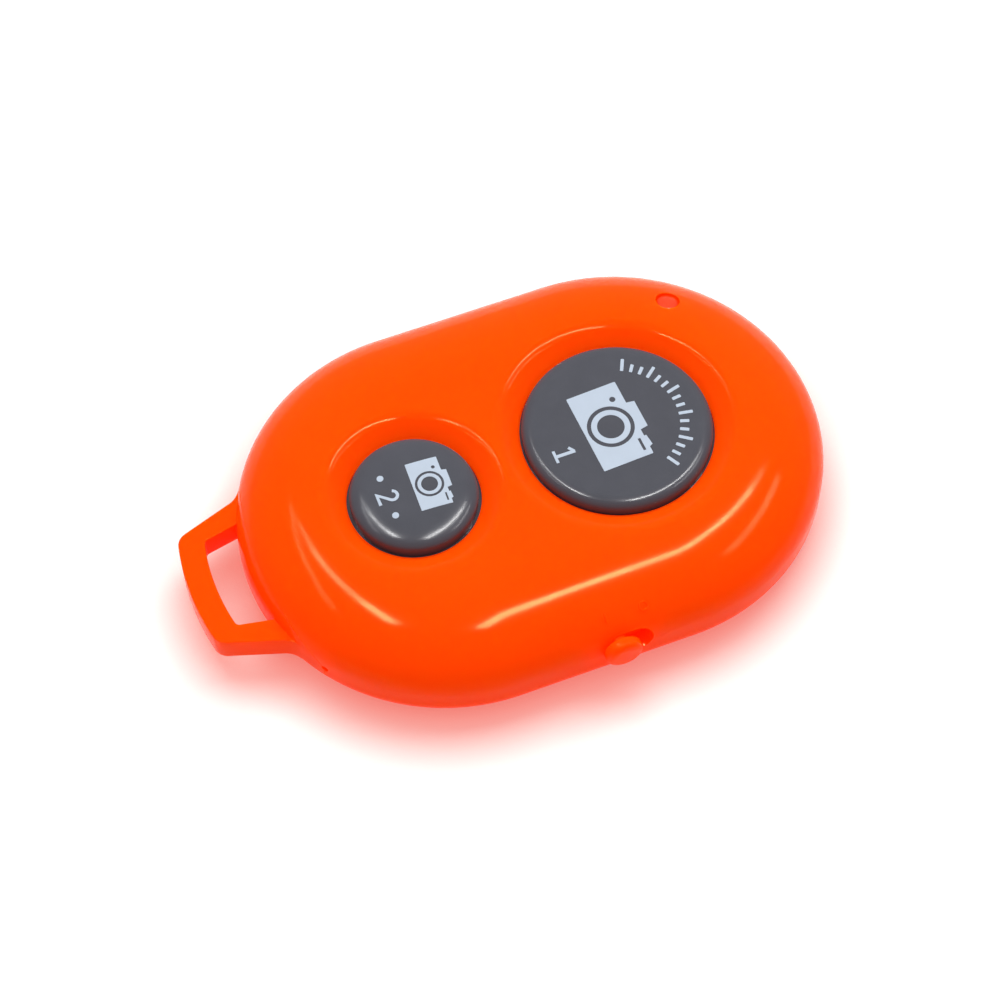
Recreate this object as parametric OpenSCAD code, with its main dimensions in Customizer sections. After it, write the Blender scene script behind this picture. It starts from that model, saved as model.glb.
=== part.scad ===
// Bluetooth camera shutter remote with a lanyard loop, two round buttons and a power slider.
// X runs along the remote with the loop at -X, the power slider faces -Y and the buttons face +Z.
// The origin is the centre of the oval outline, on the flat underside.

/* [Housing] */
// Length of the oval body without the loop
body_length = 46; // [44:0.5:54]
// Width of the oval body
body_width = 32; // [31.5:0.5:36]
// Height of the flat top face above the table
body_height = 8.4; // [8.2:0.1:10]
// Height of the body's widest line, where the rounding of the top starts
widest_height = 3.9; // [3.6:0.1:4.2]
// How far the rounding of the top reaches in from the side
shoulder_run = 7.6; // [6:0.1:8.5]
// How far the underside curves in before it lies flat
underside_run = 3.7; // [2:0.1:5]
// Height at which the underside starts to curve in
underside_rise = 2.7; // [2.3:0.1:3]
// Height of the seam where the two shells meet
seam_height = 1.5; // [1.4:0.1:1.9]
// Thickness of the shell walls and of the top
wall = 1.2; // [1:0.05:1.3]
// Thickness of the floor under the coin cell
floor_thickness = 1.2; // [1:0.05:1.4]

/* [Buttons] */
// Diameter of the large button
large_button_diameter = 14.6; // [12:0.1:15]
// Distance of the large button from the centre, toward +X
large_button_x = 7; // [6.8:0.1:8]
// How far the large button stands above the top face
large_button_proud = 0.3; // [0.2:0.05:1]
// Rounding of the large button's edge
large_button_edge = 0.6; // [0.3:0.05:0.8]
// Diameter of the small button
small_button_diameter = 9.9; // [8:0.1:10.2]
// Distance of the small button from the centre, toward -X
small_button_x = 9.5; // [9.3:0.1:10.5]
// How far the small button stands above the top face
small_button_proud = 0.5; // [0.2:0.05:1]
// Rounding of the small button's edge
small_button_edge = 0.9; // [0.3:0.05:1]
// Width of the dished ring around each button
dish_width = 1.8; // [1.2:0.1:2]
// Depth of the dished ring
dish_depth = 0.8; // [0.5:0.05:1]
// How far a button goes down
button_travel = 0.2; // [0.1:0.05:0.2]

/* [Lanyard loop] */
// How far the loop stands out from the end of the body
loop_reach = 4.5; // [4:0.1:8]
// Width of the loop's cross bar
loop_bar = 2; // [1.5:0.1:2.5]
// Width of each of the loop's arms, across the remote
loop_arm = 1.6; // [1.2:0.1:2]
// Width over the arms where they leave the end of the body
loop_width = 12.2; // [10:0.1:13]
// How much narrower the loop gets on each side for each millimetre outward
loop_taper = 0.33; // [0.1:0.01:0.4]
// Thickness of the loop
loop_thickness = 2.2; // [1.6:0.1:2.6]
// Width of the rear shell's tab that rises through the front shell and carries the loop
tab_width = 18.4; // [17.4:0.2:19]
// Height of the top of the tab
tab_top = 6.1; // [5.8:0.1:6.3]

/* [Power slider] */
// Diameter of the slider's round knob
knob_diameter = 2.9; // [2.8:0.05:3.2]
// How far the knob stands out from the side
knob_proud = 1; // [0.6:0.05:1.4]
// Place of the knob along the body when it is off
knob_x = 0.85; // [0:0.05:1.5]
// How far the knob slides
knob_travel = 1.5; // [1.2:0.1:1.7]

/* [Coin cell and board] */
// Diameter of the coin cell
cell_diameter = 20; // [16:0.5:20]
// Thickness of the coin cell
cell_thickness = 3.2; // [3:0.1:3.2]
// Thickness of the circuit board
board_thickness = 0.8; // [0.6:0.1:0.8]
// Diameter of the screws that hold the board
screw_diameter = 1.2; // [1:0.1:1.4]

/* [Indicator] */
// Distance of the indicator from the centre along the body
indicator_x = 15.1; // [14.5:0.1:15.5]
// Distance of the indicator from the long axis
indicator_y = 9.4; // [9.2:0.1:9.8]
// Diameter of the sunk hole over the indicator
indicator_hole = 1.9; // [1.6:0.05:2]

/* [Hidden] */
$fn = 64;
// Steps along each rounding of the shells
curve_steps = 12;
// Cutting tools pass the faces they cut by this much
overrun = 0.5;
// Gap between pieces of one body that slip together
slip = 0.03;
// Gap around a button and around the knob's shank
running_gap = 0.1;
// Gap between the two shells along the raised arch
seam_gap = 0.08;

body_radius = body_width / 2;
end_axis = body_length / 2 - body_radius;
flat_radius = body_radius - shoulder_run;
shoulder_rise = body_height - widest_height;

// The rear shell's tongue stands inside the front shell
tongue_height = 0.8;
tongue_thickness = 0.7;
tongue_gap = 0.08;
tongue_radius = body_radius - wall - tongue_gap;
tongue_inner = tongue_radius - tongue_thickness;

// The tab has upright sides up to its shoulder, and an arched top above it
tab_shoulder = widest_height - 0.9;
tab_half = tab_width / 2;
tab_depth = body_radius - sqrt(pow(tongue_inner, 2) - pow(tab_half, 2));

// A small notch for prying the shells apart, where the tab's edge turns upright
notch_radius = 0.3;
notch_depth = 0.5;
notch_lift = 0.4;
notch_turn = 180 + asin(tab_half / body_radius);

// The loop stands a little above the widest line, with small roundings at its corners and roots
loop_lift = 0.5;
loop_corner = 1.2;
loop_inner_corner = 0.4;
loop_root = 1.8;
loop_top = widest_height + loop_lift;

// Heights of what is stacked between the floor and the front shell
strap_gap = 0.1;
strap_thickness = 0.2;
contact_thickness = 0.2;
cell_bottom = floor_thickness + strap_gap + strap_thickness;
cell_top = cell_bottom + cell_thickness;
board_bottom = cell_top + contact_thickness;
board_top = board_bottom + board_thickness;
board_gap = 0.25;
board_rise_share = (board_top - widest_height) / (shoulder_rise - wall);
board_radius = flat_radius + (shoulder_run - wall) * sqrt(1 - pow(board_rise_share, 2)) - board_gap;

// The coin cell, its strap and its contact
cell_screw_gap = 2.1;
cell_switch_gap = 1.2;
cell_radius = cell_diameter / 2;
cell_can_wall = 0.25;
cell_seal_width = 0.6;
cell_seal_drop = 0.3;
cell_rim_rounding = 0.3;
strap_width = 5;
strap_side_gap = 0.1;
strap_foot = 1.2;
strap_reach = cell_radius + strap_side_gap + strap_thickness;
contact_radius = 3.6;
contact_tail = 5.6;
contact_tail_width = 2;

// The round push switches under the buttons: a snap dome in a well, with a plunger on it
switch_side = 4;
switch_base_floor = 0.1;
switch_well_radius = 1.6;
switch_cover_thickness = 0.1;
switch_cover_hole = 1.05;
switch_tab_width = 1.2;
switch_tab_drop = 0.35;
plunger_radius = 0.95;
plunger_flange_radius = 1.4;
plunger_flange_height = 0.14;
plunger_flange_gap = 0.05;
plunger_seat_gap = 0.01;
plunger_margin = 0.05;
dome_radius = 1.5;
dome_rise = button_travel;
dome_thickness = 0.05;
plunger_bottom = board_top + switch_base_floor + dome_rise + dome_thickness + plunger_seat_gap;
switch_base_top = plunger_bottom + plunger_flange_height + plunger_flange_gap;
switch_top = switch_base_top + switch_cover_thickness + button_travel + plunger_margin;

// The buttons
cap_flange_width = 0.8;
cap_flange_height = 0.35;
cap_wall = 1;
cap_post_radius = 1.5;
collar_gap = 0.05;
collar_bottom = switch_top + cap_flange_height + collar_gap;
dish_floor = body_height - dish_depth;
dish_arc = (pow(dish_width, 2) + pow(dish_depth, 2)) / (2 * dish_depth);
large_button_radius = large_button_diameter / 2;
small_button_radius = small_button_diameter / 2;

// The slide switch under the board
case_length = 6.7;
case_width = 2.7;
case_height = 1.4;
case_sheet = 0.15;
case_foot_gap = 0.15;
case_base_height = 0.4;
case_inset = 0.2;
lever_head_length = 2.4;
lever_width = 0.7;
lever_height = 0.65;
lever_gap = 0.05;
lever_reach = 1.1;
terminal_width = 0.4;
terminal_thickness = 0.12;
terminal_length = 0.6;
terminal_pitch = 2;
slide_x = knob_x + knob_travel / 2;
case_front = -board_radius + case_inset;
case_back = case_front + case_width;
case_bottom = board_bottom - case_height;
lever_bottom = case_bottom + case_sheet + lever_gap;
lever_tip = case_front - lever_reach;

// The power slider's knob and the hole that it slides in
knob_radius = knob_diameter / 2;
knob_z = 4.7;
knob_edge = 0.3;
knob_seat_gap = 0.05;
shank_radius = 0.65;
slot_radius = 1.35;
slot_shift = knob_travel / 2 + shank_radius + running_gap - slot_radius;
tail_wall = 0.25;
tail_gap = 0.25;
knob_inner_face = -body_radius - knob_seat_gap;
tail_front = -body_radius + wall + tail_gap;
tail_back = -board_radius - running_gap;

// The indicator's light pipe and lamp
pipe_radius = 0.55;
pipe_flange_radius = 1;
pipe_flange_height = 0.28;
indicator_recess = 0.6;
lamp_length = 1.6;
lamp_width = 0.8;
lamp_height = 0.4;
indicator_run_share = (norm([indicator_x - end_axis, indicator_y]) - flat_radius) / shoulder_run;
indicator_surface = widest_height + shoulder_rise * sqrt(1 - pow(indicator_run_share, 2));
indicator_floor = indicator_surface - indicator_recess;
pipe_seat = board_top + lamp_height + pipe_flange_height + slip;

// Screws and the bosses that they run into
screw_head_radius = 1.1;
screw_head_height = 0.6;
screw_slot_width = 0.25;
screw_slot_depth = 0.25;
boss_wall = 0.9;
screw_radius = screw_diameter / 2;
boss_radius = screw_radius + boss_wall;
boss_near_x = 5;
boss_side_inset = 3.2;
boss_near_y = board_radius - boss_side_inset;
boss_end_inset = 4.8;
boss_top_skin = 0.5;
boss_bore_top = body_height - wall - boss_top_skin + slip;
boss_end_x = body_length / 2 - boss_end_inset;
boss_places = [[-boss_near_x, boss_near_y], [-boss_near_x, -boss_near_y], [boss_end_x, 0]];
cell_x = boss_end_x - screw_head_radius - cell_screw_gap - cell_radius;
cell_y = case_back + cell_switch_gap + cell_radius;

// Four curved ribs on the floor keep the coin cell in its place
cradle_gap = 0.25;
cradle_thickness = 0.7;
cradle_height = 1.5;
cradle_turn = 44;

// Electronics under the loop end of the board
chip_side = 4;
chip_height = 0.75;
chip_x = (end_axis + board_radius + strap_reach + strap_foot - cell_x) / 2;
lead_width = 0.25;
lead_length = 0.35;
lead_thickness = 0.12;
lead_pitch = 0.6;
leads_per_side = 5;
crystal_length = 3.2;
crystal_width = 2.5;
crystal_height = 0.7;
crystal_rounding = 0.5;
crystal_y = 5;
small_part_length = 1;
small_part_width = 0.5;
small_part_height = 0.5;
small_part_pitch = 1.5;
capacitor_count = 4;
resistor_count = 3;
capacitor_y = 4.2;
resistor_gap = 0.4;

// Colours as the photograph shows them, with usual ones inside
housing_orange = [1, 0.33, 0];
button_grey = [0.36, 0.38, 0.4];
board_green = [0.05, 0.35, 0.18];
bright_steel = [0.78, 0.78, 0.8];
case_black = [0.09, 0.09, 0.1];

// Points of a rounding that starts upright at [outer, z0] and ends level at [outer - run, z0 + rise]
function rounding(outer, z0, run, rise) = [
    for (step = [0:curve_steps])
        let (turn = 90 * step / curve_steps)
            [outer - run + run * cos(turn), z0 + rise * sin(turn)]
];

function reversed(points) = [for (i = [len(points) - 1:-1:0]) points[i]];

// Half outline of the whole body, from the table up
outer_outline = concat(
    [[0, 0]],
    reversed(rounding(body_radius, underside_rise, underside_run, -underside_rise)),
    rounding(body_radius, widest_height, shoulder_run, shoulder_rise),
    [[0, body_height]]
);

// Half outline of the room inside the front shell
inner_outline = concat(
    [[0, seam_height - overrun], [body_radius - wall, seam_height - overrun]],
    rounding(body_radius - wall, widest_height, shoulder_run - wall, shoulder_rise - wall),
    [[0, body_height - wall]]
);

function ring_outline(outer, inner, z0, z1) = [[inner, z0], [outer, z0], [outer, z1], [inner, z1]];

function slab_outline(outer, z0, z1) = ring_outline(outer, 0, z0, z1);

// An oval solid whose half outline is swept round both ends and along the straight sides
module oval(half_outline) {
    for (side = [-1, 1]) {
        translate([side * end_axis, 0, 0])
            rotate([0, 0, -90 * side])
                rotate_extrude(angle = 180) polygon(half_outline);
        rotate([90, 0, 90])
            linear_extrude(2 * end_axis, center = true)
                polygon([for (p = half_outline) [side * p[0], p[1]]]);
    }
}

// The arched outline of the rear shell's tab, swept in from a place outside the end, drawn in by a gap
module tab_region(outside, gap) {
    arch = rounding(tab_half - gap, tab_shoulder, tab_half - gap, tab_top - gap - tab_shoulder);
    translate([-body_length / 2 - outside, 0, 0])
        rotate([90, 0, 90])
            linear_extrude(tab_depth + outside)
                polygon(concat(
                    [[tab_half - gap, seam_height - overrun]], arch,
                    [for (p = reversed(arch)) [-p[0], p[1]]],
                    [[gap - tab_half, seam_height - overrun]]));
}

// Everything between two heights, for cutting the body into its two shells
module level_slab(z0, z1) {
    translate([-body_length / 2 - overrun, -body_radius - overrun, z0])
        cube([body_length + 2 * overrun, body_width + 2 * overrun, z1 - z0]);
}

// The opening in the long side that the knob's shank slides in
module slider_slot() {
    depth = body_radius - board_radius + overrun;
    for (side = [-1, 1])
        translate([slide_x + side * slot_shift, -board_radius, knob_z])
            rotate([90, 0, 0]) cylinder(r = slot_radius, h = depth);
    translate([slide_x - slot_shift, -board_radius - depth, knob_z - slot_radius])
        cube([2 * slot_shift, depth, 2 * slot_radius]);
}

module pry_notch() {
    translate([-end_axis, 0, tab_shoulder + notch_lift])
        rotate([0, 0, notch_turn])
            translate([body_radius - notch_depth, 0, 0])
                rotate([0, 90, 0]) cylinder(r = notch_radius, h = notch_depth + overrun);
}

module button_collar(place, radius) {
    translate([place, 0, collar_bottom])
        cylinder(r = radius + dish_width, h = body_height - wall / 2 - collar_bottom);
}

// The dished ring and the bore that a button stands in
module button_opening(place, radius) {
    translate([place, 0, collar_bottom - overrun])
        cylinder(r = radius + running_gap, h = body_height - collar_bottom + 2 * overrun);
    translate([place, 0, dish_floor + dish_arc])
        rotate_extrude() translate([radius, 0]) circle(dish_arc);
}

module front_shell() {
    color(housing_orange)
    difference() {
        union() {
            difference() {
                intersection() {
                    oval(outer_outline);
                    level_slab(seam_height, body_height + overrun);
                }
                oval(inner_outline);
            }
            button_collar(large_button_x, large_button_radius);
            button_collar(-small_button_x, small_button_radius);
            for (place = boss_places)
                translate([place[0], place[1], board_top])
                    cylinder(r = boss_radius, h = body_height - wall / 2 - board_top - boss_top_skin);
        }
        button_opening(large_button_x, large_button_radius);
        button_opening(-small_button_x, small_button_radius);
        tab_region(overrun, 0);
        pry_notch();
        slider_slot();
        for (place = boss_places)
            translate([place[0], place[1], board_top - overrun])
                cylinder(r = screw_radius + slip, h = boss_bore_top - board_top + overrun);
        translate([indicator_x, indicator_y, indicator_floor])
            cylinder(d = indicator_hole, h = indicator_recess + 2 * overrun);
        translate([indicator_x, indicator_y, pipe_seat - overrun])
            cylinder(r = pipe_radius + slip, h = indicator_floor - pipe_seat + 2 * overrun);
        translate([indicator_x, indicator_y, board_top])
            cylinder(r = pipe_flange_radius + slip, h = pipe_seat - board_top);
    }
}

// Half width of the loop at a distance out from the end of the body
function loop_half(distance) = loop_width / 2 - loop_taper * distance;

// The loop's tapered outline, cut round at its far end, with its arms narrowed by an inset
module loop_taper_outline(far_radius, inset) {
    intersection() {
        translate([-end_axis, 0]) circle(far_radius);
        polygon([for (side = [-1, 1], distance = side * [-body_radius, loop_reach + overrun])
            [-body_length / 2 - distance, side * (loop_half(distance) - inset)]]);
    }
}

module loop_outline() {
    far_radius = body_radius + loop_reach;
    difference() {
        offset(r = -loop_root) offset(r = loop_root)
        union() {
            translate([-end_axis, 0]) circle(body_radius);
            offset(r = loop_corner) offset(delta = -loop_corner) loop_taper_outline(far_radius, 0);
        }
        offset(r = loop_inner_corner) offset(delta = -loop_inner_corner)
            difference() {
                loop_taper_outline(far_radius - loop_bar, loop_arm);
                translate([-end_axis, 0]) circle(body_radius - wall / 2);
            }
        translate([-end_axis, 0]) circle(body_radius - wall / 2);
        translate([-body_length / 2 + tab_depth / 2, -body_width]) square([body_length, 2 * body_width]);
    }
}

// The ribs stand between the directions of the strap and of the slide switch
module cell_cradle() {
    inner = cell_radius + cradle_gap;
    translate([cell_x, cell_y, 0])
        for (turn = [45:90:315])
            rotate([0, 0, turn - cradle_turn / 2])
                rotate_extrude(angle = cradle_turn)
                    polygon(ring_outline(inner + cradle_thickness, inner,
                                         floor_thickness, floor_thickness + cradle_height));
}

module rear_shell() {
    color(housing_orange)
    union() {
        difference() {
            intersection() {
                oval(outer_outline);
                level_slab(0, seam_height);
            }
            oval(slab_outline(tongue_inner, floor_thickness, seam_height + overrun));
        }
        oval(ring_outline(tongue_radius, tongue_inner, floor_thickness, seam_height + tongue_height));
        cell_cradle();
        intersection() {
            difference() {
                oval(outer_outline);
                oval(slab_outline(tongue_inner, floor_thickness, body_height + overrun));
                pry_notch();
            }
            tab_region(overrun, seam_gap);
        }
        intersection() {
            translate([0, 0, loop_top - loop_thickness]) linear_extrude(loop_thickness) loop_outline();
            tab_region(loop_reach + overrun, seam_gap);
        }
    }
}

// A button: a cup with a retaining flange and a post that stands on its push switch
module button_cap(place, radius, top, edge) {
    color(button_grey)
    translate([place, 0, 0])
    difference() {
        union() {
            rotate_extrude() {
                square_from(0, switch_top, radius, top - edge);
                square_from(0, switch_top, radius - edge, top);
                translate([radius - edge, top - edge]) circle(edge);
                square_from(0, switch_top, radius + cap_flange_width, switch_top + cap_flange_height);
            }
        }
        difference() {
            translate([0, 0, switch_top - overrun])
                cylinder(r = radius - cap_wall, h = top - cap_wall - switch_top + overrun);
            translate([0, 0, switch_top])
                cylinder(r = cap_post_radius, h = top - switch_top);
        }
    }
}

module square_from(x0, y0, x1, y1) {
    translate([x0, y0]) square([x1 - x0, y1 - y0]);
}

module large_button_cap() {
    button_cap(large_button_x, large_button_radius, body_height + large_button_proud, large_button_edge);
}

module small_button_cap() {
    button_cap(-small_button_x, small_button_radius, body_height + small_button_proud, small_button_edge);
}

module switch_base(place) {
    color(case_black)
    translate([place, 0, board_top])
    difference() {
        translate([-switch_side / 2, -switch_side / 2, 0])
            cube([switch_side, switch_side, switch_base_top - board_top]);
        translate([0, 0, switch_base_floor])
            cylinder(r = switch_well_radius, h = switch_base_top - board_top);
    }
}

module switch_cover(place) {
    color(bright_steel)
    translate([place, 0, switch_base_top]) {
        difference() {
            translate([-switch_side / 2, -switch_side / 2, 0])
                cube([switch_side, switch_side, switch_cover_thickness]);
            translate([0, 0, -overrun])
                cylinder(r = switch_cover_hole, h = switch_cover_thickness + 2 * overrun);
        }
        for (side = [-1, 1])
            translate([side * (switch_side + switch_cover_thickness) / 2, 0,
                       (switch_cover_thickness - switch_tab_drop) / 2])
                cube([switch_cover_thickness, switch_tab_width,
                      switch_tab_drop + switch_cover_thickness], center = true);
    }
}

function dome_point(r, lift) = [r, lift + dome_rise * (1 - pow(r / dome_radius, 2))];

// A snap dome that gives way when the button is pressed
module switch_dome(place) {
    dome_steps = 6;
    dome_radii = [for (step = [0:dome_steps]) dome_radius * step / dome_steps];
    color(bright_steel)
    translate([place, 0, board_top + switch_base_floor])
        rotate_extrude()
            polygon(concat([for (r = dome_radii) dome_point(r, dome_thickness)],
                           [for (r = reversed(dome_radii)) dome_point(r, 0)]));
}

module switch_plunger(place) {
    color(button_grey)
    translate([place, 0, plunger_bottom]) {
        cylinder(r = plunger_flange_radius, h = plunger_flange_height);
        cylinder(r = plunger_radius, h = switch_top - plunger_bottom);
    }
}

module large_switch_base() { switch_base(large_button_x); }
module large_switch_cover() { switch_cover(large_button_x); }
module large_switch_dome() { switch_dome(large_button_x); }
module large_switch_plunger() { switch_plunger(large_button_x); }
module small_switch_base() { switch_base(-small_button_x); }
module small_switch_cover() { switch_cover(-small_button_x); }
module small_switch_dome() { switch_dome(-small_button_x); }
module small_switch_plunger() { switch_plunger(-small_button_x); }

module circuit_board() {
    color(board_green)
    difference() {
        oval(slab_outline(board_radius, board_bottom, board_top));
        for (place = boss_places)
            translate([place[0], place[1], board_bottom - overrun])
                cylinder(r = screw_radius + slip, h = board_thickness + 2 * overrun);
    }
}

// Slotted screws that run up through the board into the front shell's bosses
module board_screws() {
    color(bright_steel)
    for (place = boss_places)
        translate([place[0], place[1], board_bottom])
        difference() {
            union() {
                translate([0, 0, -screw_head_height]) cylinder(r = screw_head_radius, h = screw_head_height);
                cylinder(r = screw_radius, h = boss_bore_top - board_bottom - slip);
            }
            translate([-screw_head_radius - overrun, -screw_slot_width / 2, -screw_head_height - overrun])
                cube([2 * (screw_head_radius + overrun), screw_slot_width, screw_slot_depth + overrun]);
        }
}

// The slide switch hangs under the board: a steel case, a base with contacts, and a lever
module slide_switch_case() {
    color(bright_steel)
    difference() {
        translate([slide_x - case_length / 2, case_front, case_bottom])
            cube([case_length, case_width, case_height - case_foot_gap]);
        translate([slide_x - case_length / 2 + case_sheet, case_front + case_sheet, case_bottom + case_sheet])
            cube([case_length - 2 * case_sheet, case_width - 2 * case_sheet, case_height]);
        translate([slide_x - (knob_travel + lever_width) / 2 - lever_gap, case_front - overrun,
                   lever_bottom - lever_gap])
            cube([knob_travel + lever_width + 2 * lever_gap, overrun + case_sheet * 2,
                  lever_height + 2 * lever_gap]);
    }
}

module slide_switch_base() {
    inset = case_sheet + slip;
    color(case_black)
        translate([slide_x - case_length / 2 + inset, case_front + inset, board_bottom - case_base_height])
            cube([case_length - 2 * inset, case_width - 2 * inset, case_base_height]);
}

module slide_switch_lever() {
    color(case_black) {
        translate([knob_x - lever_head_length / 2, case_front + case_sheet + lever_gap, lever_bottom])
            cube([lever_head_length, case_width - 2 * (case_sheet + lever_gap), lever_height]);
        translate([knob_x - lever_width / 2, lever_tip, lever_bottom])
            cube([lever_width, lever_reach + case_width / 2, lever_height]);
    }
}

module slide_switch_terminals() {
    color(bright_steel)
    for (step = [-1:1])
        translate([slide_x + step * terminal_pitch - terminal_width / 2,
                   case_back - case_sheet - slip, board_bottom - terminal_thickness])
            cube([terminal_width, terminal_length, terminal_thickness]);
}

// The knob outside the shell, its round shank, and the socket that grips the lever
module power_slider_knob() {
    color(housing_orange)
    difference() {
        union() {
            translate([knob_x, knob_inner_face, knob_z]) rotate([90, 0, 0])
                rotate_extrude() {
                    square_from(0, 0, knob_radius, knob_proud - knob_edge);
                    square_from(0, 0, knob_radius - knob_edge, knob_proud);
                    translate([knob_radius - knob_edge, knob_proud - knob_edge]) circle(knob_edge);
                }
            translate([knob_x, tail_back, knob_z]) rotate([90, 0, 0])
                cylinder(r = shank_radius, h = tail_back - knob_inner_face);
            translate([knob_x - lever_width / 2 - tail_wall, tail_front, lever_bottom - tail_wall])
                cube([lever_width + 2 * tail_wall, tail_back - tail_front,
                      knob_z - lever_bottom + tail_wall]);
        }
        translate([knob_x - lever_width / 2 - slip, lever_tip - slip, lever_bottom - slip])
            cube([lever_width + 2 * slip, tail_back - lever_tip + overrun, lever_height + 2 * slip]);
    }
}

module indicator_lamp() {
    color([0.95, 0.93, 0.85])
        translate([indicator_x - lamp_length / 2, indicator_y - lamp_width / 2, board_top])
            cube([lamp_length, lamp_width, lamp_height]);
}

module indicator_light_pipe() {
    color([0.95, 0.45, 0.5])
    translate([indicator_x, indicator_y, board_top + lamp_height]) {
        cylinder(r = pipe_flange_radius, h = pipe_flange_height);
        cylinder(r = pipe_radius, h = indicator_floor - board_top - lamp_height);
    }
}

module radio_chip() {
    color(case_black)
        translate([-chip_x - chip_side / 2, -chip_side / 2, board_bottom - chip_height])
            cube([chip_side, chip_side, chip_height]);
}

module radio_chip_leads() {
    color(bright_steel)
    for (side = [0:3], step = [1:leads_per_side])
        translate([-chip_x, 0, board_bottom - lead_thickness])
            rotate([0, 0, 90 * side])
                translate([chip_side / 2, (step - (leads_per_side + 1) / 2) * lead_pitch - lead_width / 2, 0])
                    cube([lead_length, lead_width, lead_thickness]);
}

module crystal_can() {
    color(bright_steel)
    translate([-chip_x, crystal_y, board_bottom - crystal_height])
        linear_extrude(crystal_height)
            offset(r = crystal_rounding) offset(delta = -crystal_rounding)
                square([crystal_length, crystal_width], center = true);
}

// A row of small ceramic parts along the board
module small_part_row(count, x, y) {
    for (step = [0:count - 1])
        translate([x + step * small_part_pitch, y, board_bottom - small_part_height])
            cube([small_part_width, small_part_length, small_part_height]);
}

module chip_capacitors() {
    color([0.72, 0.56, 0.38])
        small_part_row(capacitor_count, -chip_x - chip_side / 2, -capacitor_y);
}

module chip_resistors() {
    color([0.12, 0.12, 0.12])
        small_part_row(resistor_count, -chip_x + crystal_length / 2 + resistor_gap, crystal_y);
}

// The coin cell: a can with the positive face down, a seal, and the cap of the negative face
module battery_can() {
    color(bright_steel)
    translate([cell_x, cell_y, cell_bottom])
    rotate_extrude()
    difference() {
        union() {
            square_from(0, 0, cell_radius - cell_rim_rounding, cell_thickness - cell_seal_drop);
            square_from(0, cell_rim_rounding, cell_radius, cell_thickness - cell_seal_drop);
            translate([cell_radius - cell_rim_rounding, cell_rim_rounding]) circle(cell_rim_rounding);
        }
        square_from(0, cell_can_wall, cell_radius - cell_can_wall, cell_thickness);
    }
}

module battery_gasket() {
    color(case_black)
    translate([cell_x, cell_y, cell_bottom])
    rotate_extrude()
        square_from(cell_radius - cell_can_wall - cell_seal_width, cell_can_wall,
                    cell_radius - cell_can_wall, cell_thickness - cell_seal_drop);
}

module battery_cap() {
    cap_radius = cell_radius - cell_can_wall - cell_seal_width;
    color(bright_steel)
    translate([cell_x, cell_y, cell_bottom])
    rotate_extrude() {
        square_from(0, cell_can_wall, cap_radius, cell_thickness - cell_rim_rounding);
        square_from(0, cell_can_wall, cap_radius - cell_rim_rounding, cell_thickness);
        translate([cap_radius - cell_rim_rounding, cell_thickness - cell_rim_rounding])
            circle(cell_rim_rounding);
    }
}

// A bent spring strap that carries the cell against the contact and feeds the board
module battery_strap() {
    reach = strap_reach;
    color(bright_steel)
    translate([cell_x, cell_y + strap_width / 2, 0])
    rotate([90, 0, 0])
    linear_extrude(strap_width) {
        square_from(-reach, cell_bottom - strap_thickness, reach, cell_bottom);
        for (side = [-1, 1])
            scale([side, 1]) {
                square_from(reach - strap_thickness, cell_bottom - strap_thickness, reach, board_bottom);
                square_from(reach - strap_thickness, board_bottom - strap_thickness,
                            reach + strap_foot, board_bottom);
            }
    }
}

module battery_negative_contact() {
    color(bright_steel)
    translate([cell_x, cell_y, cell_top]) {
        cylinder(r = contact_radius, h = contact_thickness);
        translate([0, -contact_tail_width / 2, 0])
            cube([contact_tail, contact_tail_width, contact_thickness]);
    }
}

front_shell();
rear_shell();
large_button_cap();
small_button_cap();
power_slider_knob();
circuit_board();
board_screws();
large_switch_base();
large_switch_cover();
large_switch_dome();
large_switch_plunger();
small_switch_base();
small_switch_cover();
small_switch_dome();
small_switch_plunger();
slide_switch_case();
slide_switch_base();
slide_switch_lever();
slide_switch_terminals();
indicator_lamp();
indicator_light_pipe();
radio_chip();
radio_chip_leads();
crystal_can();
chip_capacitors();
chip_resistors();
battery_can();
battery_cap();
battery_gasket();
battery_strap();
battery_negative_contact();
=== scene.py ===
"""Looks of the camera shutter remote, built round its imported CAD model."""

import math

import bmesh
import bpy
from bpy.props import FloatProperty, FloatVectorProperty, PointerProperty
from bpy.types import Operator, Panel, PropertyGroup
from mathutils import Matrix, Vector


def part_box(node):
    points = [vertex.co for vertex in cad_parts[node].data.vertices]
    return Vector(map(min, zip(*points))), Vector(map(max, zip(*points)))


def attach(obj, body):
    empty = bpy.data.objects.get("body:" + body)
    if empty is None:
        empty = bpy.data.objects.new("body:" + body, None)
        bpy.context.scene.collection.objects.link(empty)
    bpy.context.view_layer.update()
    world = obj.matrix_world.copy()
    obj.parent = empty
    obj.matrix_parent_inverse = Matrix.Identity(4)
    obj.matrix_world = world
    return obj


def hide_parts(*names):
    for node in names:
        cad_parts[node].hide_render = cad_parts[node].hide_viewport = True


bl_info = {
    "name": "Camera Shutter Remote",
    "version": (1, 0, 0),
    "blender": (4, 5, 0),
    "location": "3D View > Sidebar > Remote",
    "description": "Models the shells, buttons, slider and electronics of a camera shutter remote",
    "category": "Add Mesh",
}

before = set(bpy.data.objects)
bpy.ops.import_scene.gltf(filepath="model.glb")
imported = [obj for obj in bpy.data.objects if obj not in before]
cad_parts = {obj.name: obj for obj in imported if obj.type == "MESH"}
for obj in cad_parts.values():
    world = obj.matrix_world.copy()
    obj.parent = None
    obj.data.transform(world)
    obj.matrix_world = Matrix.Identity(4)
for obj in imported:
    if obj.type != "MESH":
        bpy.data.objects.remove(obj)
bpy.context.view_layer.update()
MM = 0.001

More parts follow.
